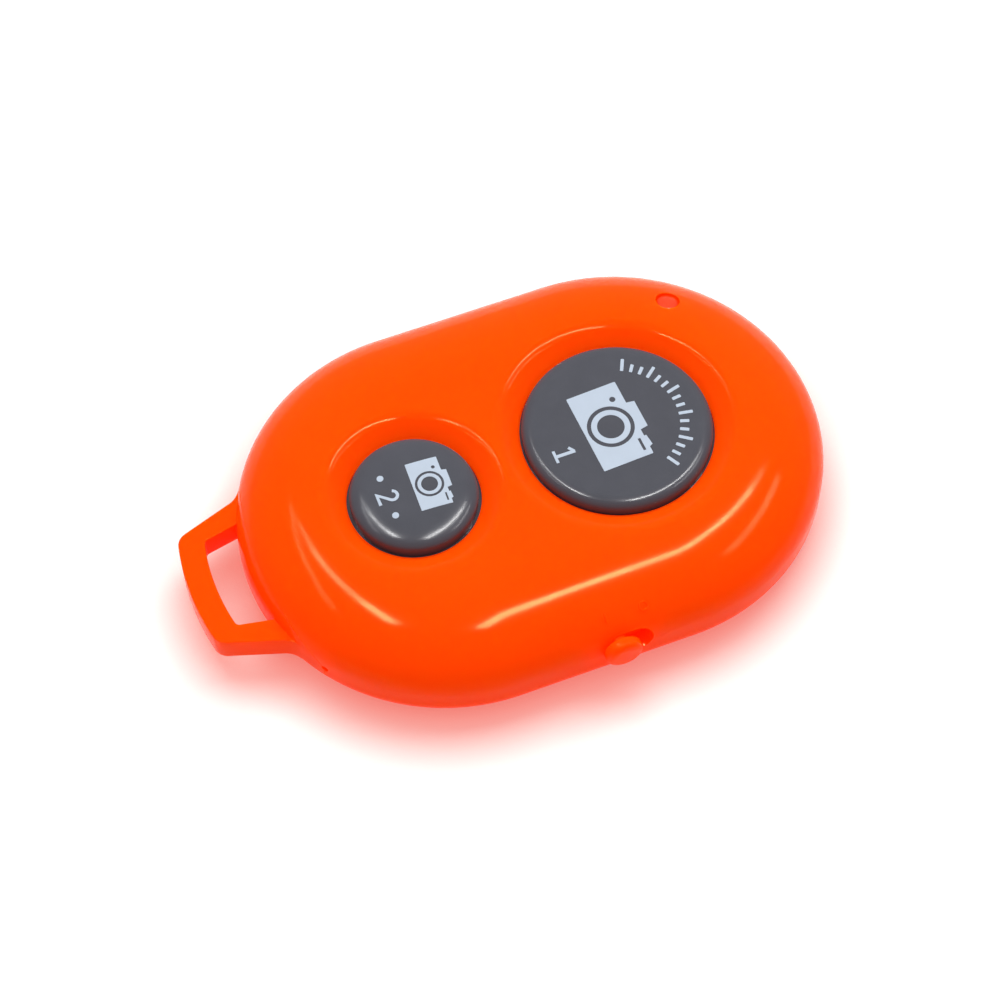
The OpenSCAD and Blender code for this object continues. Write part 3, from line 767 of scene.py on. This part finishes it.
def bend(centre, radius, start, end, steps):
    """Points of the short arc about a centre between two points' directions."""
    first = math.atan2(start.y - centre.y, start.x - centre.x)
    last = math.atan2(end.y - centre.y, end.x - centre.x)
    turn = (last - first + math.pi) % (2 * math.pi) - math.pi
    return [(centre.x + radius * math.cos(first + turn * i / steps),
             centre.y + radius * math.sin(first + turn * i / steps)) for i in range(steps + 1)]


def loop_plate():
    """The lanyard loop: two arms that draw together and a cross bar bowed like the end of the body."""
    loop, body = settings()[1], Body()
    corner, inner_corner, root = 1.2, 0.4, 1.8
    sunk, opening_sunk = body.radius - 0.9, body.radius - 0.6
    end = Vector((-body.axis, 0))
    tip = -body.axis - body.radius
    out = Vector((-1, -loop.taper)).normalized()
    side = Vector((-loop.taper, 1)).normalized()
    middle = Vector((tip - 9, 0))
    far = body.radius + mm(loop.reach)

    def arm(half, shift, radius):
        return crossing(Vector((tip, half)) + side * shift, out, end, radius)

    foot = arm(mm(loop.half), root, body.radius + root)
    knee = arm(mm(loop.half), -corner, far - corner)
    half = bend(foot, root, end, foot - side, 14)
    half += bend(knee, corner, knee + side, knee + (knee - end), 12)
    half += bend(end, far, Vector(half[-1]), middle, 14)
    root_end = Vector(half[0]) - end
    half = [tuple(end + root_end.normalized() * sunk)] + half
    outline = half + [(x, -y) for x, y in half[-2::-1]]
    outline += bend(end, sunk, Vector(outline[-1]), Vector(outline[0]), 20)[1:-1]
    low, high = mm(loop.low), mm(loop.high)
    plate = slab([(x, y, low) for x, y in outline], high - low)

    inside = mm(loop.half - loop.arm)
    bar = far - mm(loop.bar)
    knee = arm(inside, -inner_corner, bar - inner_corner)
    near = arm(inside, -inner_corner, opening_sunk)
    half = bend(end, opening_sunk, middle, near, 12)
    half += bend(knee, inner_corner, knee + side, knee + (knee - end), 8)
    half += bend(end, bar, Vector(half[-1]), middle, 14)[:-1]
    opening = half + [(x, -y) for x, y in half[:0:-1]]
    plate = carved(plate, ('DIFFERENCE', slab([(x, y, low - 1) for x, y in opening], high - low + 2)))
    bmesh.ops.remove_doubles(plate, verts=plate.verts, dist=1e-4)
    return rounded_edges(plate, mm(loop.edge), 4)


CELL = (5, 0.6)
# A rib round the cell: inner and outer radius, underside and top
RIB = (10.25, 10.95, 0.8, 2.7)
RIB_TURN = 44
NOTCH_RADIUS = 0.3
NOTCH_HEIGHT = 3.4
# The tongue inside the seam: play, thickness and height; then the rear shell's floor
TONGUE = (0.08, 0.7, 0.8)
REAR_FLOOR = 1.2


def cell_rib(turn):
    """A rib that holds the coin cell: part of a ring with a rectangular section."""
    inner, outer, low, high = RIB
    bm = bmesh.new()
    verts, edges = chain(bm, [(inner, 0, low), (outer, 0, low), (outer, 0, high), (inner, 0, high)], True)
    face = bm.faces.new(verts)
    bmesh.ops.spin(bm, geom=verts + edges + [face], cent=(0, 0, 0), axis=(0, 0, 1),
                   angle=math.radians(RIB_TURN), steps=24)
    bmesh.ops.recalc_face_normals(bm, faces=bm.faces)
    return shifted(rotated(bm, math.radians(turn - RIB_TURN / 2), 'Z'), *CELL, 0)


def pry_notch():
    """The small notch in the seam beside the loop where the shells are prised apart."""
    housing, body = settings()[0], Body()
    turn = math.pi + math.asin(mm(housing.tab_half) / body.radius)
    notch = rotated(pin(0, 0, NOTCH_RADIUS, 0, 4, 24), math.pi / 2, 'Y')
    return shifted(rotated(shifted(notch, body.radius - 0.5, 0, 0), turn, 'Z'), -body.axis, 0, NOTCH_HEIGHT)


class REMOTE_OT_rear_shell(Operator):
    """Models the rear shell with its tab and the lanyard loop"""
    bl_idname = "remote.rear_shell"
    bl_label = "Rear Shell and Loop"

    def execute(self, context):
        housing, body = settings()[0], Body()
        play, thick, rise = TONGUE
        tongue = body.radius - body.wall - play
        room = tongue - thick
        kept = carved(box((-FAR, -FAR, BELOW), (FAR, FAR, body.seam)),
                      ('UNION', arch_tool(1, mm(housing.seam_gap))),
                      ('UNION', oval([(tongue, -6), (tongue, body.seam + rise)], body.axis)))
        steps = [('INTERSECT', kept), ('DIFFERENCE', oval([(room, REAR_FLOOR), (room, ABOVE)], body.axis)),
                 ('DIFFERENCE', pry_notch()), ('UNION', loop_plate())]
        steps += [('UNION', cell_rib(turn)) for turn in (45, 135, 225, 315)]
        shell = tidy(carved(oval(body.outline(), body.axis), *steps))
        rounded_edges(shell, mm(housing.edge), 2, only=outside_edges(body))
        piece("rear_shell_glossy", shell, "rear_housing", glossy_housing(), "housing", ["rear_shell"],
              body.facing)
        return {'FINISHED'}


def cap_sizes():
    """For each button: its name, centre, radius, top, and the run and drop of its edge."""
    buttons = settings()[2]
    sizes = ((0, buttons.large_top, buttons.large_run, buttons.large_drop),
             (buttons.small_play, buttons.small_top, buttons.small_run, buttons.small_drop))
    return [(name, centre, radius - mm(made[0]), *(mm(v) for v in made[1:]))
            for name, (centre, radius), made in zip(("large_button", "small_button"), BUTTONS, sizes)]


class REMOTE_OT_buttons(Operator):
    """Models the two round buttons with their domed edges and the flanges that hold them in"""
    bl_idname = "remote.buttons"
    bl_label = "Buttons"

    def execute(self, context):
        bottom = mm(LARGE_LOW.z)
        flange_top, wall, stem = bottom + 0.35, 1, 1.5
        for name, centre, radius, top, run, drop in cap_sizes():
            profile = [(0, top)] + quarter(radius, top - drop, run, drop, 28)[::-1]
            profile += [(radius, flange_top), (radius + FLANGE, flange_top), (radius + FLANGE, bottom),
                        (radius - wall, bottom), (radius - wall, top - wall), (stem, top - wall),
                        (stem, bottom), (0, bottom)]
            piece(name + "_satin", turned(profile, 128, (centre, 0)), name, satin_button(), "button",
                  [name + "_cap"])
        return {'FINISHED'}


KNOB = ((KNOB_LOW.x + KNOB_HIGH.x) / 2 / MM, (KNOB_LOW.z + KNOB_HIGH.z) / 2 / MM)
KNOB_THICK = 1
KNOB_FOOT = 0.25
KNOB_STEM = 0.65
# The dust plate: its gaps to the shell's inner surface, underside, top, and how far it reaches past the slot
PLATE_GAPS = (0.08, 0.28)
PLATE_LOW = 3.0
PLATE_HIGH = 5.56
PLATE_ENDS = (1.65, 0.15)
# The fork over the switch's lever, and its slot: half width, near side, underside, and the slot's top
FORK = (0.6, -14.55, 3.45)
FORK_SLOT = (0.38, -14.444, 3.67, 4.38)
MARK_LINE = 0.16
MARK_INSET = 0.3
MARK_Y = -14.44
MARK_UP = Vector((0, 0.785, 0.62))
SUNK = -0.05


def dust_plate(body):
    """The curved plate behind the slider's slot, which follows the shell's inner surface."""
    inner = [(y, h) for y, h in [(body.radius - body.wall, PLATE_LOW)] + body.inside() if h < PLATE_HIGH]
    near, far = ([(gap - y, h) for y, h in inner] for gap in PLATE_GAPS)
    start, end = SLOT[0] - PLATE_ENDS[0], SLOT[1] + PLATE_ENDS[1]
    return slab([(start, y, h) for y, h in near + far[::-1]], end - start, (1, 0, 0))


class REMOTE_OT_slider(Operator):
    """Models the power slider's knob, the dust plate behind its slot and the marks above it"""
    bl_idname = "remote.slider"
    bl_label = "Power Slider"

    def execute(self, context):
        slider, body = settings()[3], Body()
        x, z = KNOB
        radius, front, back = (KNOB_HIGH.x - KNOB_LOW.x) / 2 / MM, mm(KNOB_LOW.y), mm(KNOB_HIGH.y)
        run, drop = mm(slider.run), mm(slider.drop)
        foot = radius - KNOB_FOOT
        profile = [(0, 0), (foot, 0)] + arc((foot, KNOB_FOOT), KNOB_FOOT, -90, 0, 6)[1:]
        profile += quarter(radius, KNOB_THICK - drop, run, drop, 16) + [(0, KNOB_THICK)]
        base = front + KNOB_THICK
        knob = carved(turned(profile, 96), ('UNION', pin(0, 0, KNOB_STEM, base - back, back - base + 0.1)))
        shifted(rotated(knob, math.pi / 2, 'X'), x, base, z)
        plate = dust_plate(body)
        for part in (knob, plate):
            bmesh.ops.triangulate(part, faces=part.faces)
        half, near, low = FORK
        slot_half, slot_near, slot_low, slot_high = FORK_SLOT
        whole = carved(knob, ('UNION', plate), ('UNION', box((x - half, near, low), (x + half, back, z))),
                       ('DIFFERENCE', box((x - slot_half, slot_near, slot_low),
                                          (x + slot_half, back + 1, slot_high))))
        piece("slider_knob_glossy", tidy(whole, 1e-4), "power_slider", glossy_housing(), "slider_knob",
              ["power_slider_knob"])

        height, half = mm(slider.mark_height), mm(slider.mark_size) / 2
        bar = box((-MARK_LINE / 2, -half, SUNK), (MARK_LINE / 2, half, height))
        inside = half - MARK_LINE
        ring = turned([(inside, SUNK), (half, SUNK), (half, height), (inside, height)], 48)
        lean = Matrix((Vector((1, 0, 0)), MARK_UP, Vector((0, -MARK_UP.z, MARK_UP.y)))).transposed()
        for mark, place in ((bar, SLOT[0] + MARK_INSET), (ring, SLOT[1] - MARK_INSET)):
            rounded_edges(mark, 0.03, 2, angle=60)
            bmesh.ops.rotate(mark, verts=mark.verts, cent=(0, 0, 0), matrix=lean)
            shifted(mark, place, MARK_Y, body.above(0, MARK_Y)[0])
        piece("slider_marks", joined(bar, ring), "front_housing", glossy_housing(), "housing")
        return {'FINISHED'}


INK_UNDER = 0.015
INK_GRID = 0.5


def circle(centre, radius, steps=48):
    return arc(centre, radius, 0, 360 - 360 / steps, steps - 1)


def rectangle(low, high, corner=0.0, steps=6):
    """Corners of a rectangle, rounded where a corner radius is given."""
    if not corner:
        return [low, (high[0], low[1]), high, (low[0], high[1])]
    points = []
    for turn, (x, y) in enumerate(((high[0] - corner, high[1] - corner), (low[0] + corner, high[1] - corner),
                                   (low[0] + corner, low[1] + corner), (high[0] - corner, low[1] + corner))):
        points += arc((x, y), corner, 90 * turn, 90 * turn + 90, steps)
    return points


def stroke(points, width):
    """Outline of a line with a width, mitred at its corners."""
    sides = []
    for i, point in enumerate(points):
        before = Vector(point) - Vector(points[i - 1]) if i else None
        after = Vector(points[i + 1]) - Vector(point) if i + 1 < len(points) else None
        ways = [way.normalized() for way in (before, after) if way]
        along = sum(ways, Vector((0, 0))).normalized()
        side = Vector((-along.y, along.x)) * (width / 2 / max(along.dot(ways[0]), 0.5))
        sides.append((Vector(point) + side, Vector(point) - side))
    return [tuple(left) for left, right in sides] + [tuple(right) for left, right in reversed(sides)]


def placed(points, centre, turn=-90, scale=1.0):
    """A drawing made upright, turned and put at its place on a button."""
    turn = math.radians(turn)
    cos, sin = math.cos(turn) * scale, math.sin(turn) * scale
    return [(centre[0] + x * cos - y * sin, centre[1] + x * sin + y * cos) for x, y in points]


def flat(points, centre=(0, 0), turn=0, scale=1.0, deep=False):
    """A drawing as a flat layer of ink at height 0, or as a deep cutter."""
    low, depth = (-1, 2) if deep else (-INK_UNDER, INK_UNDER + mm(settings()[2].ink))
    return slab([(x, y, low) for x, y in placed(points, centre, turn, scale)], depth)


def camera_sign(centre, scale, lean):
    """A plain camera sign: a body with a hump and a dial, a lens in a ring, a dot and a window."""
    def drawn(points, deep=False):
        return flat(points, centre, lean - 90, scale, deep)
    lens = (0.08, 0.07)
    steps = [('UNION', drawn([(-1.43, 1.9), (-1.3, 2.67), (1.1, 2.67), (1.24, 1.9)])),
             ('UNION', drawn([(1.82, 1.9), (1.82, 2.22), (2.72, 2.32), (2.92, 1.9)])),
             ('DIFFERENCE', drawn(circle(lens, 1.82), True)),
             ('DIFFERENCE', drawn(circle((-2.1, 1.2), 0.24, 24), True)),
             ('DIFFERENCE', drawn(rectangle((1.88, 1.46), (3.0, 1.68)), True))]
    body = carved(drawn(rectangle((-3.49, -2.04), (3.49, 2.04), 0.08)), *steps)
    ring = carved(drawn(circle(lens, 1.5)), ('DIFFERENCE', drawn(circle(lens, 1.05), True)))
    return joined(body, ring)


def one(centre, height=1.7):
    """The numeral 1 with its flag and foot."""
    points = [(-0.32, -0.5), (0.32, -0.5), (0.32, -0.37), (0.08, -0.37), (0.08, 0.5), (-0.06, 0.5),
              (-0.3, 0.32), (-0.22, 0.21), (-0.08, 0.31), (-0.08, -0.37), (-0.32, -0.37)]
    return flat(points, centre, -90, height)


def two(centre, height=1.7):
    """The numeral 2."""
    line = arc((0, 0.21), 0.23, 165, -35, 18) + [(-0.24, -0.43), (0.3, -0.43)]
    return flat(stroke(line, 0.14), centre, -90, height)


def ticks(inner, outer, start, end, count, width):
    """An arc of plain marks, every third one longer."""
    marks = []
    for i in range(count):
        reach = outer if i % 3 == 0 else outer - 0.35 * (outer - inner)
        turn = start + (end - start) * i / (count - 1)
        marks.append(flat(rectangle((inner, -width / 2), (reach, width / 2), 0.06, 3), turn=turn))
    return marks


def domed(ink, centre, radius, top, run, drop):
    """Lays flat ink on a button's domed top."""
    bmesh.ops.triangulate(ink, faces=ink.faces)
    for way in (Vector((1, 0, 0)), Vector((0, 1, 0))):
        for i in range(-12, 13):
            place = Vector((centre, 0, 0)) + way * (INK_GRID * i + 0.01)
            bmesh.ops.bisect_plane(ink, geom=ink.verts[:] + ink.edges[:] + ink.faces[:], dist=1e-5,
                                   plane_co=place, plane_no=way)
    for vert in ink.verts:
        past = max(math.hypot(vert.co.x - centre, vert.co.y) - radius + run, 0) / run
        vert.co.z += top - drop + drop * math.sqrt(1 - past * past)
    return ink


# The prints, from a button's middle: each sign's place, scale and lean, the numerals' places, the arc of
# marks with its radii, angles, count and width, and the dots' radius and distance from the numeral
LARGE_SIGN = ((-0.66, -0.02), 1.0, 2.6)
LARGE_NUMERAL = (-4.75, -1.1)
LARGE_ARC = (4.75, 5.85, 64, -60, 16, 0.26)
SMALL_SIGN = ((1.22, -0.01), 0.606, -2.4)
SMALL_NUMERAL = (-2.05, 0)
SMALL_DOTS = (0.26, 1.7)


class REMOTE_OT_button_prints(Operator):
    """Prints a plain camera sign, a numeral and marks on each button"""
    bl_idname = "remote.button_prints"
    bl_label = "Button Prints"

    def execute(self, context):
        radius, beside = SMALL_DOTS
        dots = [flat(circle((SMALL_NUMERAL[0], y), radius, 24)) for y in (-beside, beside)]
        prints = (joined(camera_sign(*LARGE_SIGN), one(LARGE_NUMERAL), *ticks(*LARGE_ARC)),
                  joined(camera_sign(*SMALL_SIGN), two(SMALL_NUMERAL), *dots))
        for (name, centre, *edge), marks in zip(cap_sizes(), prints):
            shifted(marks, centre, 0, 0)
            piece(name + "_print", domed(marks, centre, *edge), name, button_ink(), "button")
        return {'FINISHED'}


# The light pipe: its foot's radius and height, its stem's and head's radius, the rise of the head's dome,
# and how far its head lies under the shell's surface
PIPE_FOOT = (1.0, 0.28)
PIPE_STEM = 0.55
PIPE_HEAD = 0.8
PIPE_DOME = 0.16
PIPE_UNDER = 0.14


class REMOTE_OT_indicator(Operator):
    """Models the indicator's light pipe, whose domed head leans with the shell's surface"""
    bl_idname = "remote.indicator"
    bl_label = "Indicator"

    def execute(self, context):
        low, seat = mm(LENS_LOW.z), LENS_FLOOR + 0.02
        foot, rise = PIPE_FOOT
        height, lean_x, lean_y = Body().above(*LENS)
        profile = [(0, low), (foot, low), (foot, low + rise), (PIPE_STEM, low + rise), (PIPE_STEM, seat),
                   (PIPE_HEAD, seat)]
        profile += quarter(PIPE_HEAD, height - PIPE_UNDER - PIPE_DOME, PIPE_HEAD, PIPE_DOME, 10)
        lens = turned(profile, 48, LENS)
        for vert in lens.verts:
            if vert.co.z > LENS_FLOOR + 0.1:
                vert.co.z += lean_x * (vert.co.x - LENS[0]) + lean_y * (vert.co.y - LENS[1])
        piece("indicator_lens", lens, "front_housing", lens_plastic(), "light_pipe", ["indicator_light_pipe"])
        return {'FINISHED'}


def softened(name, body, material, slot, width=None):
    """A CAD node's form with its edges softened."""
    bm = bmesh.new()
    bm.from_mesh(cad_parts[name].data)
    bmesh.ops.scale(bm, verts=bm.verts, vec=(1 / MM,) * 3)
    bmesh.ops.remove_doubles(bm, verts=bm.verts, dist=1e-4)
    bmesh.ops.dissolve_limit(bm, angle_limit=math.radians(0.5), verts=bm.verts, edges=bm.edges)
    rounded_edges(bm, width or mm(settings()[4].soften), 2, angle=40)
    return piece(name + "_detailed", bm, body, material, slot, [name])


def soften_all(*rows, body="front_housing"):
    """Softens parts inside, each given with its finish and the width of its rounding."""
    for name, material, *width in rows:
        softened(name, body, inside_finish(material), INSIDE[material][0], *width)


# Pads on the board: place, half sizes and whether they lie on the upper side
PLATING = 0.02
CHIP = -13.5
PADS = [((x, -10.3), (0.35, 0.5), False) for x in (-0.4, 1.6, 3.6)] + [((10.3, 3.9), (0.9, 0.9), False)]
for side in (-1, 1):
    PADS += [((CHIP + side * 2.1, step * 0.6), (0.35, 0.18), False) for step in range(-2, 3)]
    PADS += [((centre + side * 2.35, 0), (0.3, 0.9), True) for centre, radius in BUTTONS]
PAD_RING = (0.66, 1.5)


class REMOTE_OT_board(Operator):
    """Models the circuit board with its plated rings and pads"""
    bl_idname = "remote.board"
    bl_label = "Circuit Board"

    def execute(self, context):
        softened("circuit_board", "front_housing", solder_mask(), "board")
        low, high = mm(BOARD_LOW.z), mm(BOARD_HIGH.z)
        inner, outer = PAD_RING
        ring = [(inner, low - PLATING), (outer, low - PLATING), (outer, low), (inner, low)]
        parts = [turned(ring, 48, place) for place in BOSSES]
        for (x, y), (half_x, half_y), upper in PADS:
            under = high if upper else low - PLATING
            parts.append(box((x - half_x, y - half_y, under), (x + half_x, y + half_y, under + PLATING)))
        piece("board_pads", joined(*parts), "front_housing", gold_pad(), "board")
        return {'FINISHED'}


class REMOTE_OT_switches(Operator):
    """Finishes the push switches and the slide switch"""
    bl_idname = "remote.switches"
    bl_label = "Switches"

    def execute(self, context):
        for side in ("large", "small"):
            soften_all((side + "_switch_base", "black_plastic"),
                       (side + "_switch_cover", "satin_steel", 0.02))
            soften_all((side + "_switch_plunger", "plunger_plastic", 0.05), body=side + "_button")
            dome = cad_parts[side + "_switch_dome"].data
            dome.materials.clear()
            dome.materials.append(inside_finish("spring_steel"))
        soften_all(("slide_switch_case", "satin_steel", 0.04), ("slide_switch_base", "black_plastic"))
        soften_all(("slide_switch_lever", "black_plastic", 0.04), body="power_slider")
        soften_all(("slide_switch_terminals", "tinned_metal", 0.02))
        return {'FINISHED'}


class REMOTE_OT_chips(Operator):
    """Finishes the radio chip and the small parts around it"""
    bl_idname = "remote.chips"
    bl_label = "Chips"

    def execute(self, context):
        soften_all(("radio_chip", "black_plastic", 0.08), ("radio_chip_leads", "tinned_metal", 0.02),
                   ("crystal_can", "satin_steel", 0.1), ("chip_capacitors", "capacitor_ceramic", 0.05),
                   ("chip_resistors", "resistor_ceramic", 0.04), ("indicator_lamp", "lamp_phosphor", 0.05))
        return {'FINISHED'}


class REMOTE_OT_coin_cell(Operator):
    """Finishes the coin cell and the two springs that touch it"""
    bl_idname = "remote.coin_cell"
    bl_label = "Coin Cell"

    def execute(self, context):
        soften_all(("battery_can", "cell_steel", 0.06), ("battery_cap", "cell_steel", 0.1),
                   ("battery_gasket", "gasket_plastic", 0.04), ("battery_strap", "spring_steel", 0.05),
                   ("battery_negative_contact", "spring_steel", 0.05))
        return {'FINISHED'}


class REMOTE_OT_screws(Operator):
    """Finishes the slotted screws that hold the board"""
    bl_idname = "remote.screws"
    bl_label = "Screws"

    def execute(self, context):
        soften_all(("board_screws", "satin_steel", 0.08))
        return {'FINISHED'}


# Stage, in metres

CAMERA_TURN = (-20.8126, 59.3975, -0.4167)
CAMERA_AIM = (-0.0020056, 0.0015294, 0)
CAMERA_DISTANCE = 0.233935
CAMERA_LENS = 108
WORLD_LEVEL = 0.45
LAMP_HEIGHT = 0.6
# The floor as other pieces see it, and as the camera does: the painted shadow near the remote, how near it
# reaches, and its glow, which keeps the open floor white and tints the painted shadow pink like light thrown
# back from the housing
PAPER = (0.6, 0.6, 0.6, 1)
SHADE = (0.3, 1.0, 1.0, 1)
SHADE_REACH = 0.005
GLOW = (1.0, 0.22, 0.18, 1)
GLOW_LEVEL = 0.85
# Lamps: start and end over the floor, depth, level; the strips give only the glints, the panel all the light
PANEL = ((-0.17, 0.39), (0.59, 0.25), 0.6, 3.5)
STRIPS = {
    "left_near": ((-0.185, -0.05), (-0.196, 0.07), 0.036, 112),
    "left_mid": ((-0.196, 0.07), (-0.226, 0.29), 0.034, 61),
    "left_far": ((-0.226, 0.29), (-0.242, 0.38), 0.03, 30),
    "left_low": ((-0.27, 0.48), (-0.44, 0.03), 0.03, 18),
    "right_near": ((0.028, -0.165), (0.115, -0.084), 0.035, 122),
    "right_turn": ((0.115, -0.084), (0.152, -0.074), 0.035, 122),
    "right_mid": ((0.152, -0.074), (0.256, -0.005), 0.03, 120),
    "right_outer": ((0.256, -0.005), (0.4, 0.075), 0.03, 120),
    "right_far": ((0.4, 0.075), (0.47, 0.11), 0.025, 47),
    "right_low": ((0.36, -0.3), (0.68, 0.02), 0.06, 20),
}


def lamp(name, start, end, deep, level, glint=True):
    """A lamp between two points above the remote, which faces it: a thin one for glints or a soft panel."""
    start, end = Vector((*start, LAMP_HEIGHT)), Vector((*end, LAMP_HEIGHT))
    data = bpy.data.lights.new(name, 'AREA')
    data.shape = 'RECTANGLE'
    data.size, data.size_y = (end - start).length, deep
    data.energy = level * data.size * deep * math.pi
    thing = shown(name, data)
    middle = (start + end) / 2
    along = (end - start).normalized()
    back = (middle - along * middle.dot(along)).normalized()
    thing.location = middle
    thing.rotation_mode = 'QUATERNION'
    thing.rotation_quaternion = Matrix((along, back.cross(along), back)).transposed().to_quaternion()
    thing.visible_diffuse = not glint
    thing.visible_glossy = glint


def white_paper():
    """The floor's material: plain for the light it gives back, and near white where it is seen, with a
    painted pink shadow near the remote.
    """
    paper = bpy.data.materials.new("white_paper")
    paper.use_nodes = True
    tree = paper.node_tree
    tree.nodes.clear()
    # The seen floor colour darkens near the remote: a painted shadow.
    painted_shadow = node(tree, 'AmbientOcclusion', Color=SHADE, Distance=SHADE_REACH)
    shaded = node(tree, 'BsdfDiffuse', Color=painted_shadow.outputs['Color'])
    both, mix = node(tree, 'AddShader'), node(tree, 'MixShader')
    path = node(tree, 'LightPath').outputs
    seen = maths(tree, 'MAXIMUM', path['Is Camera Ray'],
                 maths(tree, 'MAXIMUM', path['Is Glossy Ray'], path['Is Transmission Ray']))
    feed(tree, shaded.outputs[0], both.inputs[0])
    feed(tree, node(tree, 'Emission', Color=GLOW, Strength=GLOW_LEVEL).outputs[0], both.inputs[1])
    feed(tree, seen, mix.inputs[0])
    feed(tree, node(tree, 'BsdfDiffuse', Color=PAPER).outputs[0], mix.inputs[1])
    feed(tree, both.outputs[0], mix.inputs[2])
    node(tree, 'OutputMaterial', Surface=mix.outputs[0])
    return paper


class REMOTE_OT_stage(Operator):
    """Lays the white floor, hangs the lamps and sets the camera at the photograph's angle"""
    bl_idname = "remote.stage"
    bl_label = "Stage"

    def execute(self, context):
        bm = bmesh.new()
        bmesh.ops.create_grid(bm, x_segments=1, y_segments=1, size=3)
        floor = shown("floor", mesh_of("floor", bm))
        floor.data.materials.append(white_paper())

        world = bpy.data.worlds.new("studio")
        world.use_nodes = True
        shade = world.node_tree.nodes['Background'].inputs
        shade['Color'].default_value = (1, 1, 1, 1)
        shade['Strength'].default_value = WORLD_LEVEL
        bpy.context.scene.world = world
        lamp("panel", *PANEL, glint=False)
        for name, strip in STRIPS.items():
            lamp(name, *strip)

        data = bpy.data.cameras.new("camera")
        data.sensor_width = 36
        data.lens = CAMERA_LENS
        data.clip_start, data.clip_end = 0.01, 10
        camera = shown("camera", data)
        azimuth, elevation, roll = (math.radians(v) for v in CAMERA_TURN)
        back = Vector((math.sin(azimuth) * math.cos(elevation), -math.cos(azimuth) * math.cos(elevation),
                       math.sin(elevation)))
        right = Vector((math.cos(azimuth), math.sin(azimuth), 0))
        up = back.cross(right)
        turned_right = right * math.cos(roll) + up * math.sin(roll)
        turned_up = up * math.cos(roll) - right * math.sin(roll)
        camera.rotation_mode = 'QUATERNION'
        camera.rotation_quaternion = Matrix((turned_right, turned_up, back)).transposed().to_quaternion()
        camera.location = Vector(CAMERA_AIM) + back * CAMERA_DISTANCE
        bpy.context.scene.camera = camera
        bpy.context.scene.view_settings.view_transform = 'Standard'
        return {'FINISHED'}


PIECES = (REMOTE_OT_front_shell, REMOTE_OT_rear_shell, REMOTE_OT_buttons, REMOTE_OT_button_prints,
          REMOTE_OT_slider, REMOTE_OT_indicator, REMOTE_OT_board, REMOTE_OT_switches, REMOTE_OT_chips,
          REMOTE_OT_coin_cell, REMOTE_OT_screws, REMOTE_OT_stage)


class REMOTE_PT_panel(Panel):
    """Lists the remote's pieces and sizes"""
    bl_idname = "REMOTE_PT_panel"
    bl_label = "Camera Shutter Remote"
    bl_space_type = 'VIEW_3D'
    bl_region_type = 'UI'
    bl_category = "Remote"

    def draw(self, context):
        for group in settings():
            rows = self.layout.box()
            for name in group.bl_rna.properties.keys():
                if name not in ("rna_type", "name"):
                    rows.prop(group, name)
        for operator in PIECES:
            self.layout.operator(operator.bl_idname)


GROUPS = {"remote_housing": RemoteHousing, "remote_loop": RemoteLoop, "remote_buttons": RemoteButtons,
          "remote_slider": RemoteSlider, "remote_inside": RemoteInside}


def register():
    for made in (*GROUPS.values(), *PIECES, REMOTE_PT_panel):
        bpy.utils.register_class(made)
    for name, group in GROUPS.items():
        setattr(bpy.types.Scene, name, PointerProperty(type=group))


def unregister():
    for name in GROUPS:
        delattr(bpy.types.Scene, name)
    for made in reversed((*GROUPS.values(), *PIECES, REMOTE_PT_panel)):
        bpy.utils.unregister_class(made)


def main():
    register()
    for operator in PIECES:
        category, name = operator.bl_idname.split(".")
        getattr(getattr(bpy.ops, category), name)()


if __name__ == "__main__":
    main()
